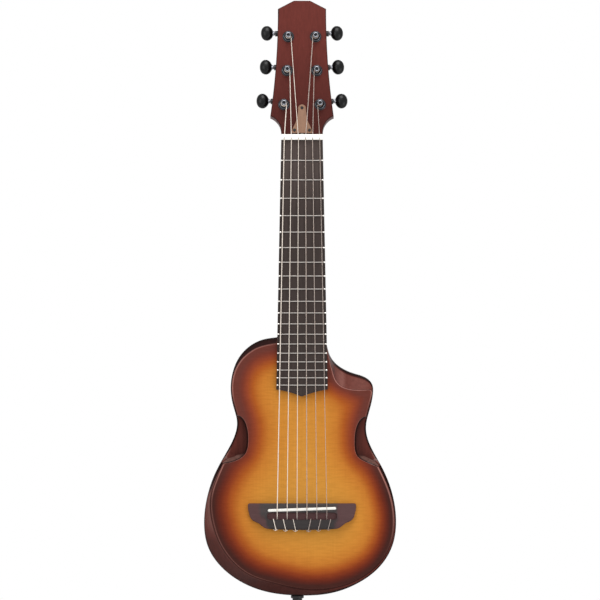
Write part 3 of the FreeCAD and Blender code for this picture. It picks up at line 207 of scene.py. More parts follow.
POST_OFFSETS = (21.3, 17.4, 16.1)
POST_WAIST = 5.2
WRAP_BOTTOM = 4.3
WRAP_TURNS = 3
WINDING_PITCH = 0.24
STRING_SIDES = 12
WRAP_SIDES = 10
POST_SIDES = 40

# ---- lamps, in metres ----
LAMP_AIM = (0.0, 0.0, -0.25)


# ---- settings ----
def length(name, description, millimetres):
    """A length in the panel."""
    return bpy.props.FloatProperty(
        name=name, description=description, default=millimetres * MM, unit="LENGTH")


def tint(name, description, *levels):
    """A colour in the panel."""
    return bpy.props.FloatVectorProperty(
        name=name, description=description, default=colour(*levels), subtype="COLOR")


class BodySettings(bpy.types.PropertyGroup):
    """Sizes of the body's edges and scoops."""
    stations: bpy.props.IntProperty(
        name="Stations", description="Sections round the body's outline", default=560, min=120, max=900)
    rings: bpy.props.IntProperty(
        name="Rings", description="Rings of the top from its centre to its edge", default=44, min=8, max=90)
    edge_facet: length("Edge facet", "Width of the small facet outside the top's edge", 0.9)
    # the edge line is a painted highlight: this is the width of each painted highlight along the facet's
    # edges
    edge_highlight: length("Edge line", "Width of the rubbed line along each edge of the facet", 0.45)
    forearm_facet: length("Forearm facet", "Width of that facet beside the forearm bevel", 1.9)
    rim_rounding: length("Rim rounding", "Rounding where the bevel meets the side", 1.7)
    back_rounding: length("Back rounding", "Rounding of the back's edges", 2.4)
    sill_width: length("Scoop sill", "Width of the ramp at the lower end of each waist scoop", 5.0)


class FinishSettings(bpy.types.PropertyGroup):
    """Colours of the finishes."""
    amber: tint("Amber", "Top at its centre", 208, 152, 67)
    brown: tint("Burst brown", "Middle of the sunburst", 166, 85, 31)
    maroon: tint("Burst maroon", "Edge of the sunburst on the lower bout", 64, 32, 27)
    upper_maroon: tint("Upper maroon", "Edge of the sunburst above the waist", 101, 52, 44)
    # colour of the painted highlight along the top's edge
    edge_highlight_tone: tint("Edge line", "Light line along the top's edge", 172, 118, 108)
    stain: tint("Side stain", "Sides and back", 52, 25, 22)
    # the thin and rubbed stains are also the painted light on the bevels that face the lamps
    thinned: tint("Thin stain", "Bevels where the stain is thinner", 96, 48, 41)
    rubbed: tint("Rubbed stain", "Bevels rubbed back to the wood", 130, 84, 76)
    head: tint("Head and neck", "Satin mahogany", 91, 39, 33)
    board: tint("Fretboard", "Open-pored dark wood", 64, 55, 52)
    bridge: tint("Bridge", "Middle of the bridge", 70, 65, 65)
    bridge_wing: tint("Bridge wings", "Wings and trough of the bridge", 90, 62, 62)
    cover: tint("Rod cover", "Tan wood of the truss rod's cover", 140, 108, 88)


class HardwareSettings(bpy.types.PropertyGroup):
    """Sizes of the tuner buttons."""
    knob_length: length("Button length", "Along its shaft", 14.8)
    knob_height: length("Button height", "Across the shaft, up the head", 17.9)
    knob_depth: length("Button depth", "Front to back", 10.4)
    neck_diameter: length("Button neck diameter", "Ring at the inner end of a button", 5.6)


class StageSettings(bpy.types.PropertyGroup):
    """Camera and floor."""
    frame_height: length("Frame height", "Height of the view at the top's plane", 705.8)
    lens: bpy.props.FloatProperty(name="Lens", description="Focal length", default=500.0, unit="CAMERA")
    centre_x: length("Centre across", "Middle of the view across", -2.35)
    centre_z: length("Centre up", "Middle of the view up the neck", -188.4)
    floor_drop: length("Floor", "Height of the floor", -1150.0)
    floor_radius: length("Floor radius", "Radius of the floor's disc", 4000.0)


# ---- numpy shapes ----
def natural_spline(knots, values, at):
    """Cubic pieces through values at knots, whose second derivatives agree where they join and are 0 at both
    ends. The second derivatives solve one tridiagonal system."""
    step = np.diff(knots)
    slopes = np.diff(values, axis=0) / step[:, None]
    system = np.zeros((len(knots), len(knots)))
    system[0, 0] = system[-1, -1] = 1
    inner = np.arange(1, len(knots) - 1)
    system[inner, inner - 1] = step[:-1]
    system[inner, inner] = 2 * (step[:-1] + step[1:])
    system[inner, inner + 1] = step[1:]
    right = np.zeros_like(values)
    right[1:-1] = 6 * np.diff(slopes, axis=0)
    bend = np.linalg.solve(system, right)
    piece = np.clip(np.searchsorted(knots, at) - 1, 0, len(knots) - 2)
    past = (at - knots[piece])[:, None]
    left = (knots[piece + 1] - at)[:, None]
    width = step[piece][:, None]
    return ((bend[piece] * left ** 3 + bend[piece + 1] * past ** 3) / (6 * width)
            + (values[piece] / width - bend[piece] * width / 6) * left
            + (values[piece + 1] / width - bend[piece + 1] * width / 6) * past)


def running_length(points):
    """Length along a polyline up to each of its points."""
    return np.concatenate([[0.0], np.cumsum(np.linalg.norm(np.diff(points, axis=0), axis=1))])


def spline_along(points, values, count):
    """A natural spline through values at the running lengths of points, taken at evenly spaced lengths, and
    the number of the point that each lies at, with its share of the way to the next."""
    knots = running_length(points)
    at = np.linspace(0, knots[-1], count)
    return natural_spline(knots, values, at), np.interp(at, knots, np.arange(len(knots)))


def outward(points):
    """Unit vectors to the right of the way along points in the (x, z) plane: their tangent turned by -90
    degrees."""
    tangent = np.gradient(points, axis=0)
    tangent /= np.linalg.norm(tangent, axis=1)[:, None]
    return np.stack([tangent[:, 1], -tangent[:, 0]], axis=1)


def smooth(value):
    """A step from 0 to 1 with flat ends."""
    value = np.clip(value, 0, 1)
    return value * value * (3 - 2 * value)


def unit(vectors):
    """Vectors divided by their lengths, which are kept above nothing."""
    return vectors / np.maximum(np.linalg.norm(vectors, axis=-1, keepdims=True), 1e-9)


def rounded_section(keys, radii, steps=5):
    """Polylines through keys with their corners rounded: each corner becomes a quadratic Bezier curve from
    the point one radius before it to the point one radius after it, with a close point beyond each end that
    keeps the flats flat. keys is (corners, stations, 3); a radius is a number or one for each station."""
    share = np.linspace(0, 1, steps)[:, None, None]
    rows = [keys[:1]]
    for index in range(1, len(keys) - 1):
        corner = keys[index]
        before = keys[index - 1] - corner
        after = keys[index + 1] - corner
        room = MOST_ROUNDING * np.minimum(np.linalg.norm(before, axis=-1), np.linalg.norm(after, axis=-1))
        radius = np.minimum(radii[index], room)[:, None]
        if not np.any(radii[index]):
            rows.append(corner[None])
            continue
        to_start, to_end = unit(before) * radius, unit(after) * radius
        curve = ((1 - share) ** 2 * (corner + to_start) + 2 * share * (1 - share) * corner
                 + share ** 2 * (corner + to_end))
        rows += [(corner + to_start * HOLD)[None], curve, (corner + to_end * HOLD)[None]]
    rows.append(keys[-1:])
    return np.concatenate(rows)


def rows_of(radii, steps=5):
    """The key that each row of a rounded section belongs to."""
    counts = [1] + [steps + 2 if np.any(radius) else 1 for radius in radii[1:-1]] + [1]
    return np.repeat(np.arange(len(radii)), counts)


def quads(rows, columns, closed_rows=False, closed_columns=False):
    """Corner numbers of the quads of a grid whose points are numbered row by row."""
    row = np.arange(rows if closed_rows else rows - 1)
    column = np.arange(columns if closed_columns else columns - 1)
    row, column = (numbers.ravel() for numbers in np.meshgrid(row, column, indexing="ij"))
    start, below = row * columns, (row + 1) % rows * columns
    right = (column + 1) % columns
    return np.stack([start + column, start + right, below + right, below + column], axis=1)


def ringed(grid, closed_rows=False):
    """A grid in millimetres whose rows are rings, as points in metres and quads."""
    return grid * MM, quads(*grid.shape[:2], closed_rows=closed_rows, closed_columns=True)


def circle(sides):
    """Angles of a ring's points."""
    return np.linspace(0, 2 * np.pi, sides, endpoint=False)


def make_piece(name, parts, material, body, replaced, attributes=None, sharp=40.0):
    """A mesh object from grids of points in metres: parts is a list of (points, quads). Points that meet are
    merged, so that poles and seams close, and faces are turned outward."""
    points = np.concatenate([grid.reshape(-1, 3) for grid, _ in parts])
    starts = np.cumsum([0] + [grid.size // 3 for grid, _ in parts[:-1]])
    faces = np.concatenate([corners + start for (_, corners), start in zip(parts, starts)])
    mesh = bpy.data.meshes.new(name)
    mesh.from_pydata(points.tolist(), [], faces.tolist())
    for key, values in (attributes or {}).items():
        layer = mesh.attributes.new(key, "FLOAT", "POINT")
        layer.data.foreach_set("value", np.asarray(values, np.float32).ravel())
    build = bmesh.new()
    build.from_mesh(mesh)
    bmesh.ops.remove_doubles(build, verts=build.verts, dist=2e-6)
    bmesh.ops.recalc_face_normals(build, faces=build.faces)
    build.to_mesh(mesh)
    build.free()
    mesh.polygons.foreach_set("use_smooth", np.ones(len(mesh.polygons), bool))
    mesh.set_sharp_from_angle(angle=math.radians(sharp))
    mesh.materials.append(material)
    piece = bpy.data.objects.new(name, mesh)
    bpy.context.scene.collection.objects.link(piece)
    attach(piece, body)
    if replaced:
        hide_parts(*replaced)


def tube(path, radius, reference, sides=STRING_SIDES):
    """A round bar along a path, with closed ends: each ring is a circle square to the path, on the two
    directions that the path's tangent makes with a reference direction."""
    tangent = unit(np.gradient(path, axis=0))
    across = unit(np.cross(tangent, reference))
    other = np.cross(tangent, across)
    angle = circle(sides)[None, :, None]
    grid = path[:, None] + (across[:, None] * np.cos(angle) + other[:, None] * np.sin(angle)) * radius
    ends = [np.broadcast_to(end, (1, sides, 3)) for end in (path[0], path[-1])]
    return np.concatenate([ends[0], grid, ends[1]])


def lathe(profile, angle, spread=1.0):
    """A turned profile of (axial, radius) points: its radius, times a spread for each angle, times the cosine
    and sine of the angle, as three arrays of axial place, cosine and sine side."""
    axial, radius = np.asarray(profile, float).T
    reach = radius[:, None] * np.broadcast_to(spread, angle.shape)
    return np.broadcast_to(axial[:, None], reach.shape), reach * np.cos(angle), reach * np.sin(angle)


def on_head(points):
    """Points given across the head, behind its face and up its face, in the guitar's frame."""
    across, depth, up = np.moveaxis(np.asarray(points, float), -1, 0)
    cosine, sine = math.cos(HEAD_ANGLE), math.sin(HEAD_ANGLE)
    return np.stack([across + HEAD_ORIGIN[0], HEAD_ORIGIN[1] + depth * cosine + up * sine,
                     HEAD_ORIGIN[2] - depth * sine + up * cosine], axis=-1)


def string_side(number):
    """-1 for the bass strings and 1 for the treble strings."""
    return -1 if number > 3 else 1


def string_row(number):
    """The tuner row of a string, from 0 nearest the nut."""
    return 6 - number if number > 3 else number - 1


def at_post(number, across, depth, up):
    """Places measured from a string's post at the head's face, in the guitar's frame."""
    row = string_row(number)
    across = string_side(number) * POST_OFFSETS[row] + across
    return on_head(np.stack(np.broadcast_arrays(across, depth, FIRST_POST + row * POST_PITCH + up), axis=-1))


# ---- materials ----
class Nodes:
    """Adds nodes to the tree of a material or of the world. Each method gives the new node's output."""

    def __init__(self, owner):
        owner.use_nodes = True
        self.tree = owner.node_tree

    def put(self, value, socket):
        """Link a socket to an input or set the input to a value; a colour gets its fourth number."""
        if isinstance(value, bpy.types.NodeSocket):
            self.tree.links.new(value, socket)
        else:
            socket.default_value = (*value, 1) if socket.type == "RGBA" else value

    def node(self, kind, output, inputs=(), **settings):
        """A node with its settings and its inputs, by name or number."""
        node = self.tree.nodes.new("ShaderNode" + kind)
        for key, value in settings.items():
            setattr(node, key, value)
        for key, value in dict(inputs).items():
            self.put(value, node.inputs[key])
        return node.outputs[output]

    def coordinates(self):
        """Object coordinates."""
        return self.node("TexCoord", "Object")

    def axis(self, name):
        """One of the object coordinates."""
        return self.node("SeparateXYZ", name, {"Vector": self.coordinates()})

    def noise(self, across, depth, along, detail=4.0, roughness=0.55):
        """Noise from 0 to 1 on object coordinates, each times a number."""
        scale = (across, depth, along)
        vector = self.node("Mapping", "Vector", {"Vector": self.coordinates(), "Scale": scale})
        return self.node("TexNoise", "Fac", {"Vector": vector, "Scale": 1.0, "Detail": detail,
                                             "Roughness": roughness})

    def ramp(self, fac, *stops):
        """A colour ramp with stops of (place, colour)."""
        output = self.node("ValToRGB", "Color", {"Fac": fac})
        elements = output.node.color_ramp.elements
        while len(elements) < len(stops):
            elements.new(0.5)
        for element, (place, tone) in zip(elements, stops):
            element.position = place
            element.color = (*tone, 1)
        return output

    def span(self, value, low, high, to_low=0.0, to_high=1.0):
        """A value taken from one range to another and held inside it."""
        return self.node("MapRange", "Result", {"Value": value, "From Min": low, "From Max": high,
                                                "To Min": to_low, "To Max": to_high})

    def blend(self, fac, first, second, mode="MIX"):
        """Two colours mixed by a factor. Its numbers are those of the colour sockets."""
        return self.node("Mix", 2, {0: fac, 6: first, 7: second}, data_type="RGBA", blend_type=mode)

    def times(self, first, second):
        """A colour times a colour or a number."""
        return self.blend(1.0, first, second, "MULTIPLY")

    def maths(self, operation, *values):
        """One sum, product or other step on numbers."""
        return self.node("Math", "Value", enumerate(values), operation=operation)

    def attribute(self, name):
        """A point attribute of the piece."""
        return self.node("Attribute", "Fac", attribute_name=name)

    def seen(self):
        """1 for a ray from the camera, a reflection or a transmission, else 0."""
        path = self.node("LightPath", "Is Camera Ray").node.outputs
        total = self.maths("ADD", path["Is Camera Ray"], path["Is Glossy Ray"])
        return self.maths("MINIMUM", self.maths("ADD", total, path["Is Transmission Ray"]), 1.0)


class Look(Nodes):
    """A material with a Principled shader whose plain values are set on its own sockets."""

    def __init__(self, name, base, roughness, metallic=0.0, **sockets):
        self.material = bpy.data.materials.new(name)
        super().__init__(self.material)
        self.surface(Base_Color=base, Roughness=roughness, Metallic=metallic, **sockets)

    def surface(self, **sockets):
        """Set inputs of the shader or link sockets to them."""
        inputs = self.tree.nodes["Principled BSDF"].inputs
        for key, value in sockets.items():
            self.put(value, inputs[key.replace("_", " ")])

    def bump(self, height, strength, distance=0.0002):
        """Fine relief from a height."""
        self.surface(Normal=self.node("Bump", "Normal", {"Height": height, "Strength": strength,
                                                         "Distance": distance}))


def shade(base, factor):
    """A colour made lighter or darker."""
    return tuple(min(1.0, value * factor) for value in base)


def sunburst_material(finish):
    """Spruce under a sunburst: amber in the middle, brown, then maroon by distance from the outline,
    lighter maroon above the waist, with fine straight grain that darkens and lightens it, faint ripples of
    silk across the grain and a painted highlight along the edge."""
    look = Look("sunburst_top", finish.amber, 0.4, Specular_IOR_Level=0.08)
    cloud = look.span(look.noise(14, 14, 7, 3), 0.25, 0.75, -2.2, 2.2)
    place = look.maths("DIVIDE", look.maths("ADD", look.attribute("edge_mm"), cloud), 100.0)
    inner = ((0.21, finish.brown), (0.28, colour(191, 118, 44)), (0.38, colour(202, 134, 52)),
             (0.52, colour(206, 143, 58)), (0.85, finish.amber))
    lower = look.ramp(place, (0.035, finish.maroon), (0.062, colour(80, 33, 25)), (0.10, colour(102, 39, 23)),
                      (0.15, colour(133, 56, 25)), *inner)
    upper = look.ramp(place, (0.06, finish.upper_maroon), (0.10, colour(114, 52, 39)),
                      (0.15, colour(140, 64, 37)), *inner)
    burst = look.blend(look.span(look.axis("Z"), -0.42, -0.33), lower, upper)
    streak = look.noise(1300, 60, 9, 5, 0.6)
    tone = burst
    for grain, low, high, strength, factors in (
            (streak, 0.3, 0.7, 0.22, (0.62, 0.50, 0.42)),
            (look.noise(4200, 60, 30, 2), 0.35, 0.65, 0.10, (1.25, 1.2, 1.15)),
            (look.noise(70, 60, 480, 3), 0.42, 0.62, 0.34, (0.74, 0.68, 0.58))):
        tone = look.blend(look.span(grain, low, high, 0.0, strength), tone, look.times(burst, factors))
    # the line attribute blends in the painted highlight along the top's edge
    look.surface(Base_Color=look.blend(look.attribute("line"), tone, finish.edge_highlight_tone),
                 Roughness=look.span(streak, 0.3, 0.7, 0.34, 0.44))
    look.bump(streak, 0.06)
    return look.material


def stained_material(finish):
    """Dark stained mahogany: straight streaks and short pores, lighter where it is rubbed back, which also
    paints the light on the bevels that face the lamps; a painted highlight along the top's edge; painted
    light on the sills; and painted shade, nearly black at its darkest, on the scoops' lips and walls, the
    bevels' rims and the bevels that face away from the lamps."""
    look = Look("stained_mahogany", finish.stain, 0.36, Specular_IOR_Level=0.03)
    streak = look.noise(260, 260, 14, 6, 0.62)
    plain, thinned, rubbed = (
        look.ramp(streak, (0.25, shade(base, low)), (0.5, base), (0.78, shade(base, high)))
        for base, low, high in ((finish.stain, 0.72, 1.35), (finish.thinned, 0.8, 1.2),
                                (finish.rubbed, 0.8, 1.2)))
    bare = look.attribute("bare")
    pore = look.noise(1500, 1500, 90, 2)
    # the sills face up towards the lamps: their lighter, mottled colour is painted light
    sill = look.ramp(look.noise(500, 500, 60), (0.3, colour(84, 56, 50)), (0.7, colour(114, 82, 74)))
    tone = plain
    # the thinned and rubbed stains also paint light on the bevels; the near-black colour is painted shade
    for fac, other in ((look.span(bare, 0.0, 0.4), thinned), (look.span(bare, 0.4, 1.0), rubbed),
                       (look.span(bare, 0.0, -1.0), colour(16, 7, 6)),
                       (look.span(pore, 0.62, 0.72, 0.0, 0.5), shade(finish.stain, 0.45)),
                       (look.attribute("line"), finish.edge_highlight_tone), (look.attribute("sill"), sill)):
        tone = look.blend(fac, tone, other)
    look.surface(Base_Color=tone, Roughness=look.span(streak, 0.2, 0.8, 0.30, 0.44))
    look.bump(pore, 0.08)
    return look.material


def wood_look(name, base, roughness, across, along, contrast, pores=0.4, gloss=0.14, fade=None):
    """Straight-grained wood: streaks along the neck with short darker pores between them. fade gives two
    heights up the neck and how light the wood is at each. The look and its tone."""
    look = Look(name, base, roughness, Specular_IOR_Level=gloss)
    streak = look.noise(across, across, along, 6, 0.6)
    tone = look.ramp(streak, (0.25, shade(base, 1 - contrast)), (0.5, base),
                     (0.75, shade(base, 1 + contrast)))
    pore = look.noise(across * 4, across * 4, along * 5, 2)
    tone = look.blend(look.span(pore, 0.6, 0.72, 0.0, pores), tone, shade(base, 0.5))
    if fade:
        tone = look.times(tone, look.span(look.axis("Z"), *fade))
    look.surface(Base_Color=tone, Roughness=look.span(streak, 0.2, 0.8, roughness - 0.06, roughness + 0.08))
    look.bump(pore, 0.12)
    return look, tone


def board_wood(base):
    """Open-pored dark wood, lighter near the nut and darker beside its long edges: by how far a point lies
    outside a line a set distance inside the edge, which widens from the nut to the board's end."""
    look, tone = wood_look("fretboard_rosewood", base, 0.55, 520, 18, 0.26, 0.6, 0.1,
                           fade=(-0.09, -0.02, 0.85, 1.3))
    widening = (BOARD_WIDTHS[1] - BOARD_WIDTHS[0]) / 2 / BOARD_LENGTH
    outside = look.maths("ADD", look.maths("ABSOLUTE", look.axis("X")),
                         look.maths("MULTIPLY", look.axis("Z"), widening))
    edge = BOARD_WIDTHS[0] / 2 * MM
    near = look.span(outside, edge - 4.2 * MM, edge - 2.2 * MM, 0.0, 0.5)
    look.surface(Base_Color=look.blend(near, tone, shade(base, 0.35)))
    return look.material


def head_wood(base):
    """Satin mahogany, deeper towards the nut, with a line of painted shade where the head's face rounds over:
    there the normal leans between the face's direction and the side's."""
    look, tone = wood_look("satin_mahogany", base, 0.42, 420, 16, 0.14, 0.22, 0.08,
                           fade=(0.015, 0.12, 0.55, 1.03))
    facing = look.node("VectorMath", "Value", {0: look.node("NewGeometry", "Normal"),
                                               1: (0.0, -math.cos(HEAD_ANGLE), math.sin(HEAD_ANGLE))},
                       operation="DOT_PRODUCT")
    # the rounded edge is darkened: painted shade
    rounded = look.maths("MULTIPLY", look.span(facing, 0.15, 0.5), look.span(facing, 0.97, 0.9))
    rounded = look.maths("MULTIPLY", rounded, look.span(look.axis("Z"), 0.006, 0.015, 0.0, 0.75))
    look.surface(Base_Color=look.blend(rounded, tone, colour(42, 17, 15)))
    return look.material


def bridge_material(finish):
    """Dark bridge wood: grey-black in the middle and darker on the tie block, red-brown on the wings and in
    the trough, with long streaks across the guitar."""
    look = Look("bridge_rosewood", finish.bridge, 0.5, Specular_IOR_Level=0.14)
    streak = look.noise(45, 300, 700, 6, 0.6)
    patch = look.span(look.noise(60, 60, 40, 3), 0.3, 0.7, -0.006, 0.006)
    reach = look.maths("ADD", look.maths("ABSOLUTE", look.axis("X")), patch)
    red = look.maths("MAXIMUM", look.span(reach, 0.041, 0.047, 0.0, 0.85), look.attribute("trough"))
    block = look.span(look.axis("Z"), (SADDLE_Z - TIE_FRONT) * MM, (SADDLE_Z - 2) * MM, 0.62, 1.0)
    tone = look.blend(red, look.times(finish.bridge, block), finish.bridge_wing)
    tone = look.blend(look.span(streak, 0.3, 0.7, 0.0, 0.4), tone, look.times(tone, (0.55, 0.5, 0.5)))
    look.surface(Base_Color=tone)
    look.bump(streak, 0.12)
    return look.material


def plain_material(name, base, roughness, metallic=0.0, grain=600.0, spread=0.08, relief=0.05, **sockets):
    """Metal, bone, plastic or paint: one colour with a fine mottle in its tone, roughness and relief."""
    look = Look(name, base, roughness, metallic, **sockets)
    mottle = look.noise(grain, grain, grain)
    look.surface(Base_Color=look.ramp(mottle, (0.3, shade(base, 1 - spread)), (0.7, shade(base, 1 + spread))),
                 Roughness=look.span(mottle, 0.3, 0.7, roughness * 0.85, roughness * 1.15))
    look.bump(mottle, relief, 0.0001)
    return look.material


def marked_metal(name, levels, spread, metallic, roughness, grain, marks):
    """Metal with a fine mottle. Each mark blends in a colour: an attribute, its value where the mark starts
    and where it is full, and the colour."""
    look = Look(name, colour(*levels), roughness[0], metallic)
    mottle = look.noise(grain, grain, grain, 3)
    darker, lighter = (colour(*(level + step for level in levels)) for step in spread)
    tone = look.ramp(mottle, (0.3, darker), (0.7, lighter))
    for attribute, start, full, other in marks:
        tone = look.blend(look.span(look.attribute(attribute), start, full), tone, colour(*other))
    look.surface(Base_Color=tone, Roughness=look.span(mottle, 0.3, 0.7, *roughness))
    return look.material


def wound_material():
    """Silvered wire wound on a core: its turns are a fine wave along the string."""
    look = Look("wound_string", colour(234, 222, 208), 0.5, 0.4)
    wave = look.maths("SINE", look.maths("MULTIPLY", look.attribute("along_mm"), 2 * math.pi / WINDING_PITCH))
    look.surface(Base_Color=look.ramp(look.span(wave, -1, 1), (0.0, colour(206, 194, 182)),
                                      (0.6, colour(234, 222, 210))))
    look.bump(wave, 0.16, 0.0001)
    return look.material


# ---- body ----
def scoop_edge(points, top):
    """A scoop's inner edge, from where it leaves the top's outline to where it meets it again: a natural
    spline through its points, cut at its two nearest approaches to the outline."""
    half, trim = 200, 4
    curve, _ = spline_along(points, points, 2 * half + 1)
    gaps = np.linalg.norm(curve[:, None] - top[None], axis=2)
    nearest = gaps.min(axis=1)
    first = int(np.argmin(nearest[:half]))
    last = half + int(np.argmin(nearest[half:]))
    ends = (int(np.argmin(gaps[first])), int(np.argmin(gaps[last])))
    inner = np.concatenate([top[ends[0]][None], curve[first + trim:last + 1 - trim], top[ends[1]][None]])
    return inner, sorted(ends)


def along_curve(curve, count):
    """A curve taken at evenly spaced running lengths."""
    lengths = running_length(curve)
    at = np.linspace(0, lengths[-1], count)
    return np.stack([np.interp(at, lengths, column) for column in curve.T], axis=1)


def floor_depth(x, inner_x):
    """How deep a scoop's floor lies: a set depth at its inmost point, then falling outward on one slope."""
    return SCOOP_WALL_DEPTH + np.abs(x - inner_x) * math.tan(SCOOP_FLOOR_SLOPE)


def body_sections(settings):
    """The body's stations as arrays: the top's edge, the first point below it and the rim, the depths of
    those two, whether it is in a scoop, how much of a sill it is, how wide the facet is, how rubbed the
    stain is with the light and shade painted into it, how near the forearm and how clear the painted
    highlight along the top's edge is; then the edge that the burst is sprayed to.
    Outside the scoops the section steps onto a small facet and a bevel; inside one it drops down a wall,
    with a ramp at the lower end, onto the scoop's sloping floor."""
    rows, place = spline_along(OUTLINE[:, :2], OUTLINE, settings.stations)
    side, top, drop = rows[:, :2], rows[:, 2:4], rows[:, 4]
    facet = settings.edge_facet / MM
    bare = np.interp(place, *BEVEL_STAIN_AND_SHADE)
    # line: how clear the painted highlight along the top's edge is at each station
    line = np.interp(place, *EDGE_HIGHLIGHT)
    sprayed = top + (side - top) * np.interp(place, *SPRAY_LINE)[:, None]
    swell = smooth(np.minimum(place - FOREARM_ROWS[0], FOREARM_ROWS[1] - place))
    width = facet + (settings.forearm_facet / MM - facet) * swell
    width = np.minimum(width, FACET_SHARE * np.linalg.norm(side - top, axis=1))
    none = np.zeros(len(top))
    outside = np.column_stack([top, top + outward(top) * width[:, None], side, RIM_DROP + FACET_SLOPE * width,
                               drop, none, none, width, bare, swell, line])
    pieces, start = [], 0
    for points in (BASS_SCOOP, TREBLE_SCOOP[::-1]):
        edge, (first, last) = scoop_edge(points, top)
        rim, count = side[first:last + 1], last + 1 - first
        inner = along_curve(edge, count)
        inner_x = edge[np.argmin(np.abs(edge[:, 0])), 0]
        lower = np.linspace(0, 1, count)[::1 if points is BASS_SCOOP else -1]
        sill = smooth((lower - SILL_START) / SILL_GROWTH)
        risen = 1 - SCOOP_RUN_OUT * smooth((lower - RISE_START) / RISE_GROWTH)
        ramp_width = LIP_WIDTH + (settings.sill_width / MM - LIP_WIDTH) * sill
        ramp_width = np.minimum(ramp_width, LIP_SHARE * np.linalg.norm(rim - inner, axis=1))
        foot = inner + outward(inner) * ramp_width[:, None]
        pieces += [outside[start:first + 1],
                   np.column_stack([inner, foot, rim, floor_depth(foot[:, 0], inner_x) * risen,
                                    floor_depth(rim[:, 0], inner_x) * risen, np.ones(count), sill, ramp_width,
                                    bare[first:last + 1], np.zeros(count), 0.3 + 0.4 * sill])]
        start = last
    # the short straight edge under the fretboard closes the loop, with a bevel of a fraction of a millimetre
    joint = side[-1] + (side[0] - side[-1]) * np.linspace(0.0, 1.0, 9)[:, None]
    flat = np.broadcast_to((0.4, 0.6, 0, 0, 0.2, 0, 0, 0), (len(joint), 8))
    pieces += [outside[start:], np.column_stack([joint, joint + (0.0, 0.2), joint + (0.0, 0.4), flat])]
    table = np.concatenate(pieces)
    return (table[:, :2], table[:, 2:4], table[:, 4:6], *table[:, 6:].T), sprayed


def inner_loop(plan):
    """A small loop round the body's middle that lines from the outline reach without crossing: the nearest
    point of a straight spine on the centre line, moved a set reach back towards each point."""
    spine = np.stack([np.zeros(len(plan)), np.clip(plan[:, 1], *SPINE)], axis=1)
    return spine + unit(plan - spine) * SPINE_REACH


def level(plan, depth):
    """Plan points of the body, measured from the neck joint, at a depth, in the guitar's frame."""
    depth = np.broadcast_to(depth, plan.shape[:1])
    return np.stack([plan[:, 0], depth, plan[:, 1] + NECK_JOINT], axis=1)


def spray_distance(points, curve):
    """How far a plan point lies from a curve, as a spray sees it: the sum over the curve's lengths of
    length / distance^4, times 2/pi, to the power -1/3. Beside one straight edge that is the plain distance;
    between two edges it is less, and it has no ridges."""
    curve = along_curve(curve, int(running_length(curve)[-1] / 0.7))
    step = running_length(curve)[-1] / (len(curve) - 1)
    result = np.empty(len(points))
    for block in np.array_split(np.arange(len(points)), 24):
        gap = np.maximum(np.linalg.norm(points[block][:, None] - curve[None, 1:], axis=2), step)
        result[block] = (2 / np.pi * (step / gap ** 4).sum(axis=1)) ** (-1 / 3)
    return result


def burst_distance(points, outline):
    """The spray distance that colours the top: from the whole outline and, held further off, from the scoops'
    inner edges, joined as the power -1/3 of the sum of their powers -3. It leans to one side: it is a little
    more on the treble side than on the bass side."""
    # the loop is closed along the neck's end, where the height is 0
    start, end = outline[0] * (1, 0), outline[-1] * (1, 0)
    total = spray_distance(points, np.concatenate([[start], outline, [end], [start]])) ** -3
    for scoop in (BASS_SCOOP, TREBLE_SCOOP):
        total = total + (spray_distance(points, scoop) + SCOOP_SPRAY_GAP) ** -3
    return total ** (-1 / 3) * (1 + SPRAY_LEAN * points[:, 0])


class GUITAR_OT_top(bpy.types.Operator):
    """Build the sunburst top: rings that grow from the middle of the body to the top's edge, each a share of
    the way along straight lines, then a rounded edge and a flat underside."""
    bl_idname = "guitar.top"
    bl_label = "Top"

    def execute(self, context):
        settings = context.scene.guitar_body
        (edge, *_, swell, line), sprayed = body_sections(settings)
        # the painted highlight along the edge is a little fainter beside the forearm
        line = line * (1 - 0.25 * swell)
        centre = np.broadcast_to(PLATE_CENTRE, edge.shape)
        loop = inner_loop(edge)
        share = np.linspace(0, 1, 5)[:-1, None, None]
        middle = centre[None] + (loop - centre)[None] * share
        share = np.linspace(0, 1, settings.rings)[:-1, None, None] ** 0.8
        rings = loop[None] + (edge - loop)[None] * share
        surface = np.stack([level(ring, 0.0) for ring in np.concatenate([middle, rings])])
        inward = unit(loop - edge)
        keys = np.stack([level(edge + inward * 0.6, 0.0), level(edge, 0.0), level(edge, PLATE_THICKNESS),
                         level(loop, PLATE_THICKNESS), level(centre, PLATE_THICKNESS)])
        rim = rounded_section(keys, (0, 0.28, 0.1, 0, 0), 4)
        grid = np.concatenate([surface, rim[1:]])
        plan = grid.reshape(-1, 3)[:, [0, 2]] - (0, NECK_JOINT)
        # the painted highlight on the top's rounded edge
        painted_highlights = np.concatenate([np.zeros(surface.shape[:2]),
                                np.broadcast_to(line, (len(rim) - 1, len(line)))])
        make_piece("sunburst_top", [ringed(grid)], sunburst_material(context.scene.guitar_finish), "root",
                   ("soundboard",),
                   {"edge_mm": burst_distance(plan, sprayed), "line": painted_highlights})
        return {"FINISHED"}


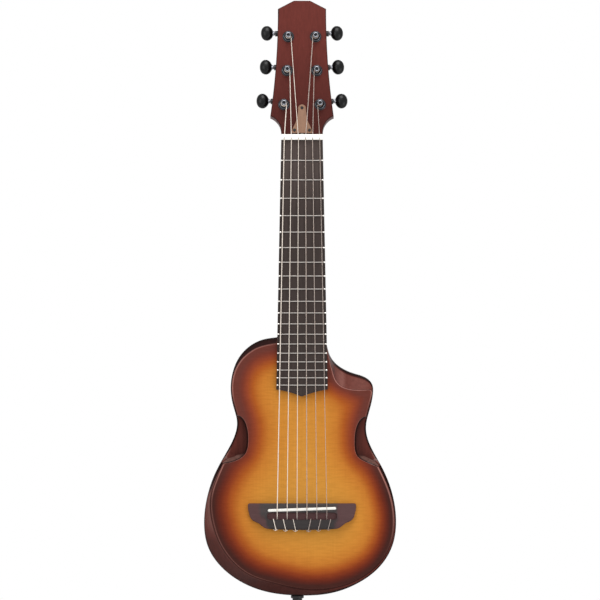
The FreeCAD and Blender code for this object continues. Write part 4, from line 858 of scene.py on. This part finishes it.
class GUITAR_OT_shell(bpy.types.Operator):
    """Build the body below the top: one section carried round the outline, from under the top's edge over the
    facet and bevel, or down into a waist scoop, to the side, the back's chamfer and the flat back."""
    bl_idname = "guitar.shell"
    bl_label = "Body"

    def execute(self, context):
        settings = context.scene.guitar_body
        arrays, _ = body_sections(settings)
        edge, below, side, below_depth, drop, scoop, sill, width, bare, swell, line = arrays
        centre = np.broadcast_to(PLATE_CENTRE, edge.shape)
        loop = inner_loop(edge)
        out = unit(below - edge)
        gap = level(edge + out * JOINT_GAP, RIM_DROP)
        foot = level(below, below_depth)
        rim = level(side, drop)
        inset = unit(inner_loop(side) - side)
        square = np.abs((inset * outward(side)).sum(axis=1))
        back = side + inset * (BACK_CHAMFER / np.clip(square, 0.6, 1))[:, None]
        reach = settings.edge_highlight / MM
        spread = np.maximum(np.linalg.norm(rim - foot, axis=1), 0.1)
        across = np.clip(reach / np.maximum(width, 0.1), 0, 0.45)[:, None]
        beyond = np.clip(reach / spread, 0, 0.3)[:, None]
        under = PLATE_THICKNESS + 0.1
        carved = scoop > 0
        wall = level(edge + out * WALL_LEAN, WALL_TOP)
        first = np.where(carved[:, None], wall, gap + (foot - gap) * across)
        second = np.where(carved[:, None], wall + (foot - wall) * 0.2, foot + (gap - foot) * across)
        # the rim's painted shade starts this far from the rim, wider on deeper bevels
        shaded = RIM_WIDTH + np.where(carved, 0.0, RIM_WIDENING * (drop - MOST_BEVELS))
        near_rim = np.clip(1 - shaded / spread, 0.5, 1)[:, None]
        keys = np.stack([
            level(centre, under), level(loop, under), level(edge, under),
            level(edge + out * JOINT_GAP, under), gap, first, second, foot,
            foot + (rim - foot) * beyond, foot + (rim - foot) * near_rim, rim,
            level(side, drop + RIM_SHADE_DEPTH), level(side, BODY_DEPTH - BACK_CHAMFER),
            level(back, BODY_DEPTH), level(inner_loop(back), BODY_DEPTH), level(centre, BODY_DEPTH)])
        rounding = settings.back_rounding / MM
        radii = (0, 0, 0, 0, 0.15, 0, 0, np.where(carved, 1.4, 0.3), 0, 0, settings.rim_rounding / MM, 0,
                 rounding, rounding, 0, 0)
        grid = rounded_section(keys, radii)
        rows = rows_of(radii)
        rim_key = 10
        corner = np.flatnonzero(rows == rim_key)[0]
        forearm = swell > 0
        none = np.zeros(len(edge))
        # the painted highlight along the top's edge on the facet's rows, doubled beside the forearm, none in
        # the scoops
        light = line * (1 - scoop)
        facet_highlights = [light * (1 - 0.5 * swell), light * np.where(forearm, 0.15, 1),
                       light * np.where(forearm, 0.1, 0.6), light * np.where(forearm, 0.45, 0.1)]
        painted_highlights = np.stack([none] * 4 + facet_highlights + [none] * 8)[rows]
        # painted light along the rim's corner where a scoop's sill meets it
        painted_highlights[corner] = np.where(carved, 0.5 * sill, 0.0)
        # painted light on the sills of the scoops
        painted_sill_light = np.stack([none] * 6 + [sill * scoop] * 2 + [none] * 8)[rows]
        # the bevel's stain with painted light and shade in it; the rim is painted shade
        bevel_stain_and_shade = [np.where(carved, SCOOP_CORNERS, bare),
                       np.where(carved, SCOOP_FLOOR, bare * np.where(forearm, 0.6, 1)), none + RIM_PAINTED_SHADE]
        # the scoops' lips and walls are darkened: painted shade
        stain = np.stack([none] * 4 + [SCOOP_LIP * carved] * 2 + [SCOOP_WALL * carved] * 2 + bevel_stain_and_shade
                         + [none, none + BACK_EDGE_STAIN] + [none + BACK_STAIN] * 3)[rows]
        # the rim's corner is painted shade, except beside the forearm
        stain[corner] = np.where(carved, SCOOP_CORNERS, RIM_PAINTED_SHADE + (0.5 * bare - RIM_PAINTED_SHADE) * swell)
        make_piece("body_shell", [ringed(grid)], stained_material(context.scene.guitar_finish), "root",
                   ("body_block",), {"line": painted_highlights, "sill": painted_sill_light, "bare": stain})
        return {"FINISHED"}


# ---- bridge ----
def box_distance(x, z, low, high, radius):
    """Signed distance to a rectangle with round corners, negative inside."""
    centre = ((low[0] + high[0]) / 2, (low[1] + high[1]) / 2)
    half = ((high[0] - low[0]) / 2 - radius, (high[1] - low[1]) / 2 - radius)
    past_side = np.abs(x - centre[0]) - half[0]
    past_end = np.abs(z - centre[1]) - half[1]
    beyond = np.hypot(np.maximum(past_side, 0), np.maximum(past_end, 0))
    return beyond + np.minimum(np.maximum(past_side, past_end), 0) - radius


class GUITAR_OT_bridge(bpy.types.Operator):
    """Build the bridge: a grid between its front and rear edges, raised to a height that falls on the wings
    and at the edges and dips in the trough, then closed by its sides and its flat foot."""
    bl_idname = "guitar.bridge"
    bl_label = "Bridge"

    def execute(self, context):
        half, corner, front = 63.7, 2.5, 6.9
        wing_start, wing_run, wing_drop, wing_height = 43.0, 23.7, 4.48, 4.3
        trough_box, trough_depth = ((-41.0, -TIE_FRONT), (41.0, -3.9), 3.2), 3.8
        step_box, step_depth = ((-37.0, -40.0), (37.0, -22.0), 1.5), 1.0
        rear = np.array([(63.7, 4.2), (63.5, 1.0), (62.2, -5.2), (60.6, -10.0), (58.2, -12.9), (54.0, -15.2),
                         (50.0, -17.2), (46.6, -20.0), (43.0, -22.2), (38.0, -23.1), (20.0, -23.9),
                         (0.0, -24.3)])
        curve = spline_along(rear, rear, 400)[0][::-1]
        x = half * np.sin(np.linspace(-np.pi / 2, np.pi / 2, 361))
        rear_z = np.interp(np.abs(x), np.maximum.accumulate(curve[:, 0]), curve[:, 1])
        over = np.clip(np.abs(x) - (half - corner), 0, corner)
        front_z = front - corner + np.sqrt(np.maximum(corner ** 2 - over ** 2, 0))
        front_z = np.maximum(front_z, rear_z)
        z = front_z + (rear_z - front_z) * np.linspace(0, 1, 121)[:, None]
        across = np.broadcast_to(x, z.shape)
        height = BRIDGE_HEIGHT - wing_drop * smooth((np.abs(across) - wing_start) / wing_run)
        height = np.maximum(height, wing_height)
        inside = np.minimum(np.minimum(front_z - z, z - rear_z), (half - np.abs(across)) * 1.5)
        short = BRIDGE_ROUNDING - np.clip(inside, 0, BRIDGE_ROUNDING)
        height = height - (BRIDGE_ROUNDING - np.sqrt(np.maximum(BRIDGE_ROUNDING ** 2 - short ** 2, 0)))
        trough = -box_distance(across, z, *trough_box)
        height = height - trough_depth * smooth(trough + 0.4)
        step = -box_distance(across, z, *step_box)
        height = height - step_depth * smooth(step / 1.2 + 0.5) * (inside > 0.01)
        foot = np.full_like(x, BRIDGE_FOOT)
        front_wall, rear_wall = (np.stack([x, foot, end], axis=1)[None] for end in (front_z, rear_z))
        grid = np.concatenate([front_wall, np.stack([across, -height, z], axis=2), rear_wall])
        grid[..., 2] += SADDLE_Z
        marks = np.zeros(grid.shape[:2])
        marks[1:-1] = smooth(trough + 0.5)
        make_piece("bridge_wood", [(grid * MM, quads(*grid.shape[:2], closed_rows=True))],
                   bridge_material(context.scene.guitar_finish), "root", ("bridge",),
                   {"trough": marks}, sharp=60.0)
        return {"FINISHED"}


# ---- frets ----
class GUITAR_OT_frets(bpy.types.Operator):
    """Build the frets: half-ellipse crowns at scale length times (1 - 2^(-n/12)) from the nut, carried
    across the board, with their ends drawn in as they rise. Each crown is bright along its top and darkened
    towards its foot by painted shade, by the cosine of the half ellipse's angle, and has a painted highlight
    at its dressed ends."""
    bl_idname = "guitar.frets"
    bl_label = "Frets"

    def execute(self, context):
        # painted light on the crowns: shade painted towards each crown's foot and a highlight painted at its
        # ends
        material = marked_metal("nickel_frets", (182, 176, 171), (-8, 8), 0.92, (0.26, 0.34), 700,
                                (("dull", -0.1, -0.8, (226, 222, 216)), ("dull", 0.2, 0.5, (70, 64, 61))))
        place = -SCALE_LENGTH * (1 - 2.0 ** (-np.arange(1, FRETS + 1) / 12))
        half = (BOARD_WIDTHS[0] + (BOARD_WIDTHS[1] - BOARD_WIDTHS[0]) * -place / BOARD_LENGTH) / 2
        angle = np.linspace(0, np.pi, 15)
        across = np.array([-1.0, -0.975, -0.95, 0.0, 0.95, 0.975, 1.0])[:, None]
        rise = np.sin(angle) * CROWN_HEIGHT
        end_gap, end_lean = 0.05, 0.7
        dull = np.where(np.abs(across) < 0.97, np.abs(np.cos(angle)), -1.0)
        parts = []
        for z, reach in zip(place, half):
            crown = np.stack(np.broadcast_arrays(
                across * (reach - end_gap - end_lean * rise), -BOARD_THICKNESS - rise,
                z + np.cos(angle) * CROWN_WIDTH / 2), axis=2)
            parts.append(ringed(crown))
            for end in (crown[0], crown[-1]):
                parts.append(ringed(np.stack([np.broadcast_to(end.mean(axis=0), end.shape), end])))
        marks = np.concatenate([dull.ravel(), np.full(4 * len(angle), -1.0)])
        make_piece("fret_crowns", parts, material, "root", ("frets",),
                   {"dull": np.tile(marks, FRETS)}, sharp=50.0)
        return {"FINISHED"}


# ---- strings ----
def bridge_rear(x):
    """The height of the bridge's bowed rear edge at a distance from the centre line."""
    sag = 4.0
    radius = (46.0 ** 2 + sag ** 2) / (2 * sag)
    return SADDLE_Z - 24.3 + radius - math.sqrt(radius ** 2 - x ** 2)


def string_course(number):
    """The string's corners: beside its post, over the nut and the saddle, through the tie block, up its rear,
    slanting forward over its top and down into the trough."""
    thickness = STRING_DIAMETERS[number - 1]
    side = string_side(number)
    end = at_post(number, -side * (POST_WAIST + thickness) / 2, -WRAP_BOTTOM - thickness / 2, 0.0)
    nut_x = (3.5 - number) * NUT_PITCH
    x = (3.5 - number) * SADDLE_PITCH
    crossing = (x, -SADDLE_TOP - thickness / 2, SADDLE_Z + x * math.tan(SADDLE_SLANT))
    rear = bridge_rear(x) - thickness
    front = SADDLE_Z - TIE_FRONT + thickness / 2 + TIE_GAP
    top = -BRIDGE_HEIGHT - thickness / 2 - TIE_GAP
    return np.array([end, (nut_x, STRING_Y_AT_NUT, NUT_BEND_Z), crossing, (x, TIE_HOLE_Y, front),
                     (x, TIE_HOLE_Y, rear), (x + side * TIE_REAR_LEAN, top, rear),
                     (x + side * TIE_FRONT_LEAN, top, front),
                     (x + side * TIE_FRONT_LEAN, TIE_HOLE_Y - 1.2 * thickness, front)])


class GUITAR_OT_strings(bpy.types.Operator):
    """Build the strings as round bars along their courses, with rounded bends, a short knot at the bridge and
    a winding on each post: a helix of three turns that lies on the post's waist."""
    bl_idname = "guitar.strings"
    bl_label = "Strings"

    def execute(self, context):
        finishes = {
            "wound_string": wound_material(),
            "clear_nylon": plain_material("clear_nylon", colour(208, 192, 182), 0.3, grain=900.0, spread=0.04,
                                          Transmission_Weight=0.5, IOR=1.5)}
        for number in range(1, 7):
            name = "wound_string" if number > 3 else "clear_nylon"
            line, line_marks = self.line(number)
            make_piece("string_line_%d" % number, line, finishes[name], "root", ("string_%d" % number,),
                       {"along_mm": line_marks})
            wrap, wrap_marks = self.wrap(number)
            make_piece("string_winding_%d" % number, wrap, finishes[name], "post_%d" % number,
                       ("string_wrap_%d" % number,), {"along_mm": wrap_marks})
        return {"FINISHED"}

    def line(self, number):
        """A string's playing length and its knot, a short bar that bows twice, up by a cosine of 4.2 times
        and out by a cosine of 2.1 times the place on it from -1 to 1; and how far along each point lies."""
        radius = STRING_DIAMETERS[number - 1] / 2
        longest_step = 6.0
        corners = string_course(number)
        path = rounded_section(corners[:, None], (0, 1.0, 1.2, 0.8, 0.55, 0.55, 0.55, 0), 7)[:, 0]
        lengths = running_length(path)
        dense = np.unique(np.concatenate([lengths, np.arange(0, lengths[-1], longest_step)]))
        path = np.stack([np.interp(dense, lengths, column) for column in path.T], axis=1)
        reach = np.linspace(-1, 1, 25)
        knot = np.stack([corners[5, 0] + string_side(number) * (0.4 + 2.6 * reach),
                         corners[4, 1] - 0.9 - 1.2 * np.cos(reach * 4.2),
                         corners[4, 2] - 0.15 - 0.75 * np.cos(reach * 2.1)], axis=1)
        along = np.concatenate([[0], dense, [dense[-1]], [0], running_length(knot), [0]])
        parts = [ringed(tube(path, radius, (1.0, 0.0, 0.0))), ringed(tube(knot, radius, (0.0, 1.0, 0.3)))]
        return parts, np.repeat(along, STRING_SIDES)

    def wrap(self, number):
        """A string's turns on its post, and how far along them each point lies."""
        thickness = STRING_DIAMETERS[number - 1]
        climb = 0.98 * thickness
        turn = np.linspace(0, 2 * np.pi * WRAP_TURNS, 40 * WRAP_TURNS + 1)
        radius = (POST_WAIST + thickness) / 2
        helix = at_post(number, -string_side(number) * radius * np.cos(turn),
                        -WRAP_BOTTOM - thickness / 2 - turn / (2 * np.pi) * climb,
                        radius * np.sin(turn))
        axis = on_head((0.0, 1.0, 0.0)) - on_head((0.0, 0.0, 0.0))
        along = np.concatenate([[0], running_length(helix), [0]])
        return [ringed(tube(helix, thickness / 2, axis, WRAP_SIDES))], np.repeat(along, WRAP_SIDES)


# ---- tuners ----
class GUITAR_OT_buttons(bpy.types.Operator):
    """Build the tuner buttons: a rounded egg whose height and depth follow a superellipse along the shaft,
    drawn out at its inner end to a short neck, and a small turned ferrule there."""
    bl_idname = "guitar.buttons"
    bl_label = "Tuner Buttons"

    def execute(self, context):
        settings = context.scene.guitar_hardware
        material = plain_material("gloss_black", colour(8, 8, 9), 0.28, grain=1400.0, spread=0.05,
                                  relief=0.01, Specular_IOR_Level=0.2)
        chrome = plain_material("neck_chrome", colour(128, 129, 134), 0.2, 0.9, spread=0.05, relief=0.02)
        shapes = (("button_%d", self.egg(settings), material, ("tuner_knob_%d",), "knob_black"),
                  ("button_neck_%d", self.neck(settings), chrome, (), "black_chrome"))
        for number in range(1, 7):
            low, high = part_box("tuner_knob_%d" % number)
            centre = (np.array(low) + np.array(high)) / 2 / MM
            for name, grid, finish, stood_for, slot in shapes:
                placed = on_head(grid * (string_side(number), 1, 1)) - on_head((0.0, 0.0, 0.0)) + centre
                make_piece(name % number, [ringed(placed)], finish, "button_%d" % number,
                           tuple(node % number for node in stood_for))
        return {"FINISHED"}

    def egg(self, settings):
        """The button's grid, along its shaft, front to back and up: (1 - |along|^p)^(1/p) times the cosine
        and sine of the angle, each to a power just under 1, which squares the section a little."""
        inner_power, outer_power, squareness = 1.9, 2.15, 0.92
        neck_share, neck_rounding = 0.27, 0.03
        angle = circle(48)
        along = -np.cos(np.linspace(0, np.pi, 41))
        power = np.where(along < 0, inner_power, outer_power)
        swell = np.maximum(1 - np.abs(along) ** power, 0) ** (1 / power)
        swell = np.maximum(swell, neck_share * smooth((along + 1.0) / neck_rounding) * (along < 0))[:, None]
        cosine, sine = (np.sign(wave) * np.abs(wave) ** squareness for wave in (np.cos(angle), np.sin(angle)))
        return np.stack(np.broadcast_arrays(
            along[:, None] * settings.knob_length / MM / 2, swell * cosine * settings.knob_depth / MM / 2,
            swell * sine * settings.knob_height / MM / 2), axis=2)

    def neck(self, settings):
        """The ferrule at the button's inner end."""
        inner = -settings.knob_length / MM / 2
        radius = settings.neck_diameter / MM / 2
        return np.stack(lathe([
            (inner - 2.0, 0), (inner - 2.0, radius - 0.9), (inner - 1.7, radius - 0.95),
            (inner - 1.4, radius - 0.5), (inner - 1.2, radius - 0.05), (inner - 0.9, radius),
            (inner + 0.5, radius), (inner + 1.4, radius - 0.6), (inner + 1.4, 0)], circle(40)), axis=2)


def turned_on_post(number, profile, angle, spread=1.0):
    """A turned profile of (depth, radius) points, on a string's post."""
    depth, across, up = lathe(profile, angle, spread)
    return at_post(number, across, depth, up)


class GUITAR_OT_bushings(bpy.types.Operator):
    """Build the washers and bushings: turned profiles whose radius, on the bushing, swells to a hexagon's
    corners, half the flats over the cosine of the angle from the nearest flat, held to a rounded corner. The
    outer edges of both carry a paler painted highlight."""
    bl_idname = "guitar.bushings"
    bl_label = "Bushings and Washers"

    def execute(self, context):
        # the paler colour on the outer edges is a painted highlight
        material = marked_metal("black_chrome", (36, 37, 40), (-3, 4), 1.0, (0.13, 0.2), 900,
                                (("worn", 0.0, 1.0, (78, 80, 85)),))
        flats, corner = 11.4, 6.2
        angle = circle(96)
        hexagon = np.minimum(flats / 2 / np.cos(np.mod(angle, np.pi / 3) - np.pi / 6), corner) / (flats / 2)
        washer = [(0.0, 4.9), (0.0, 6.6), (-0.1, 6.75), (-0.3, 6.8), (-0.55, 6.75), (-0.74, 6.55),
                  (-0.8, 6.3), (-0.8, 4.9)]
        nut_head = [(-0.8, 3.3), (-0.8, 5.7), (-2.4, 5.7), (-2.75, 5.6), (-3.05, 5.3), (-3.25, 4.9),
                    (-3.4, 4.4), (-3.4, 4.1), (-3.3, 3.9), (-3.2, 3.6), (-3.2, 3.3)]
        tube_wall = [(14.9, 3.3), (14.9, 4.75), (0.0, 4.75), (-1.0, 4.75), (-1.0, 3.3)]
        parts, worn = [], []
        for number in range(1, 7):
            # rubbed: the profile points that get the painted highlight
            for profile, spread, rubbed in ((washer, 1.0, (4, 5)), (nut_head, hexagon, (4, 5)),
                                            (tube_wall, 1.0, ())):
                parts.append(ringed(turned_on_post(number, profile, angle, spread), closed_rows=True))
                worn.append(np.repeat(np.isin(np.arange(len(profile)), rubbed), len(angle)))
        make_piece("bushings_and_washers", parts, material, "root", ("tuner_bushings_and_washers",),
                   {"worn": np.concatenate(worn)})
        return {"FINISHED"}


class GUITAR_OT_posts(bpy.types.Operator):
    """Build the string posts: a turned profile with a countersunk top, a rounded lip, a waist for the string
    and a journal that goes down through the bushing to the wheel. They are black inside the countersink and
    down the post, and the lip is bright chrome: a painted highlight."""
    bl_idname = "guitar.posts"
    bl_label = "String Posts"

    def execute(self, context):
        material = marked_metal("post_chrome", (134, 136, 142), (-10, 10), 0.95, (0.11, 0.18), 900,
                                (("recess", 0.0, 1.0, (16, 16, 18)),))
        profile = [(-7.6, 0.0), (-7.6, 1.5), (-9.9, 1.6), (-10.3, 1.8), (-10.5, 1.95), (-10.6, 2.1),
                   (-10.6, 2.4), (-10.45, 2.75), (-10.15, 3.08), (-9.7, 3.25), (-8.5, 3.25), (-8.3, 3.1),
                   (-8.25, 2.65), (-8.2, 2.6), (-4.0, 2.6), (-3.95, 2.65), (-3.9, 3.1), (-3.7, 3.25),
                   (0.0, 3.25), (16.8, 3.25), (17.0, 2.2), (21.9, 2.2), (22.0, 2.9), (22.6, 2.9), (22.7, 0.0)]
        # the bright lip is a painted highlight; the rest of the post is black
        lip = np.isin(np.arange(len(profile)), (5, 6, 7))
        recess = np.repeat(np.where(lip, 0.0, 0.85), POST_SIDES)
        for number in range(1, 7):
            grid = turned_on_post(number, profile, circle(POST_SIDES))
            make_piece("post_turning_%d" % number, [ringed(grid)], material, "post_%d" % number,
                       ("string_post_%d" % number,), {"recess": recess})
        return {"FINISHED"}


# ---- materials of the pieces that keep their CAD shape ----
class GUITAR_OT_finishes(bpy.types.Operator):
    """Give each piece that keeps its CAD shape its finish."""
    bl_idname = "guitar.finishes"
    bl_label = "Finishes"

    def execute(self, context):
        finish = context.scene.guitar_finish
        cover, _ = wood_look("cover_wood", finish.cover, 0.5, 500, 22, 0.1, 0.3)
        spruce, _ = wood_look("brace_spruce", colour(214, 186, 140), 0.6, 500, 10, 0.08, 0.1)
        numbered = [name % number for number in range(1, 7) for name in ("worm_wheel_%d", "worm_shaft_%d")]
        chosen = (
            (head_wood(finish.head), ("neck",)),
            (board_wood(finish.board), ("fretboard",)),
            (cover.material, ("truss_cover", "bridge_plate")),
            (spruce.material, ("top_braces",)),
            (plain_material("bone", colour(236, 235, 228), 0.35, grain=260.0, spread=0.01, relief=0.02),
             ("nut", "saddle")),
            (plain_material("shaft_steel", colour(150, 150, 152), 0.25, 0.95), numbered[1::2]),
            (plain_material("black_metal", colour(34, 33, 34), 0.4, 0.5),
             ("tuner_screws", "truss_cover_screws", "jack_barrel", "jack_strap_pin")),
            (plain_material("die_cast_black", colour(36, 36, 38), 0.38, 0.4, grain=1600.0, relief=0.1),
             ("tuner_housings", "tuner_covers")),
            (plain_material("zinc_steel", colour(170, 170, 168), 0.35, 0.9),
             ("jack_inner_nut", "truss_rod", "truss_nut")),
            (plain_material("brass", colour(190, 150, 84), 0.3, 0.95), ["jack_contacts"] + numbered[::2]),
            (plain_material("pickup_film", colour(52, 50, 50), 0.5), ("pickup_strip",)),
            (plain_material("lead_sheath", colour(60, 60, 62), 0.55), ("pickup_lead",)))
        for material, names in chosen:
            for name in names:
                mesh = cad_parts[name].data
                mesh.materials.clear()
                mesh.materials.append(material)
        return {"FINISHED"}


# ---- stage ----
class GUITAR_OT_stage(bpy.types.Operator):
    """Set up the floor, the white surroundings, the soft lamps and the camera."""
    bl_idname = "guitar.stage"
    bl_label = "Studio"

    def execute(self, context):
        settings = context.scene.guitar_stage
        scene = context.scene
        scene.view_settings.view_transform = "Standard"
        self.floor(settings)
        scene.world = bpy.data.worlds.new("studio_white")
        nodes = Nodes(scene.world)
        background = nodes.tree.nodes["Background"].inputs
        nodes.put((1, 1, 1), background["Color"])
        nodes.put(nodes.maths("ADD", nodes.maths("MULTIPLY", nodes.seen(), 0.4), 0.6), background["Strength"])
        for name, place, size, power in (
                ("key_lamp", (-1.3, -1.9, 0.7), 1.2, 10.5), ("fill_lamp", (1.4, -1.8, -0.3), 1.3, 11.5),
                ("overhead_lamp", (0.0, -0.8, 1.25), 0.8, 14.6), ("back_lamp", (0.4, 1.8, 0.8), 1.2, 17.0)):
            lamp = bpy.data.lights.new(name, "AREA")
            lamp.size = size
            lamp.energy = power
            aim = np.array(LAMP_AIM) - np.array(place)
            self.hold(name, lamp, place, self.turned_to(aim))
        camera = bpy.data.cameras.new("camera")
        camera.lens = settings.lens
        camera.clip_end = 50
        half = math.atan(camera.sensor_width / 2 / camera.lens)
        distance = settings.frame_height / 2 / math.tan(half)
        scene.camera = self.hold("camera", camera, (settings.centre_x, -distance, settings.centre_z),
                                 (math.pi / 2, 0, 0))
        return {"FINISHED"}

    def hold(self, name, data, place=(0, 0, 0), turns=(0, 0, 0)):
        """An object in the scene."""
        holder = bpy.data.objects.new(name, data)
        bpy.context.scene.collection.objects.link(holder)
        holder.location = place
        holder.rotation_euler = turns
        return holder

    def floor(self, settings):
        """A round floor that glows white to the camera more and more towards its rim."""
        sides = 96
        angle = circle(sides)
        rim = np.stack([np.cos(angle) * settings.floor_radius, np.sin(angle) * settings.floor_radius,
                        np.full(sides, settings.floor_drop)], axis=1)
        mesh = bpy.data.meshes.new("studio_floor")
        mesh.from_pydata(rim.tolist(), [], [list(range(sides))])
        floor = self.hold("studio_floor", mesh)
        look = Look("studio_floor", (0.82, 0.82, 0.82), 0.7, Emission_Color=(1, 1, 1))
        reach = look.node("VectorMath", "Value", {0: look.coordinates()}, operation="LENGTH")
        fade = look.span(reach, 0.8, 0.9 * settings.floor_radius, 0.25, 1.0)
        look.surface(Emission_Strength=look.maths("MULTIPLY", look.seen(), fade))
        mesh.materials.append(look.material)

    def turned_to(self, aim):
        """Turns that point a lamp's -Z along a direction."""
        level_reach = math.hypot(aim[0], aim[1])
        return math.atan2(level_reach, -aim[2]), 0.0, math.atan2(aim[1], aim[0]) - math.pi / 2


# ---- the add-on ----
class GUITAR_PT_panel(bpy.types.Panel):
    """The guitar's builders and settings."""
    bl_idname = "GUITAR_PT_panel"
    bl_label = "Guitar"
    bl_space_type = "VIEW_3D"
    bl_region_type = "UI"
    bl_category = "Guitar"

    def draw(self, context):
        for name, _ in SETTINGS:
            group = getattr(context.scene, name)
            for key in group.__annotations__:
                self.layout.prop(group, key)
        for operator in OPERATORS:
            self.layout.operator(operator.bl_idname)


SETTINGS = (("guitar_body", BodySettings), ("guitar_finish", FinishSettings),
            ("guitar_hardware", HardwareSettings), ("guitar_stage", StageSettings))
OPERATORS = (GUITAR_OT_stage, GUITAR_OT_finishes, GUITAR_OT_top, GUITAR_OT_shell, GUITAR_OT_bridge,
             GUITAR_OT_frets, GUITAR_OT_strings, GUITAR_OT_bushings, GUITAR_OT_posts, GUITAR_OT_buttons)


def register():
    for name, group in SETTINGS:
        bpy.utils.register_class(group)
        setattr(bpy.types.Scene, name, bpy.props.PointerProperty(type=group))
    for operator in OPERATORS:
        bpy.utils.register_class(operator)
    bpy.utils.register_class(GUITAR_PT_panel)


def unregister():
    bpy.utils.unregister_class(GUITAR_PT_panel)
    for operator in reversed(OPERATORS):
        bpy.utils.unregister_class(operator)
    for name, group in reversed(SETTINGS):
        delattr(bpy.types.Scene, name)
        bpy.utils.unregister_class(group)


def main():
    """Build everything."""
    register()
    for operator in OPERATORS:
        space, name = operator.bl_idname.split(".")
        getattr(getattr(bpy.ops, space), name)()
    bpy.context.view_layer.update()


if __name__ == "__main__":
    main()
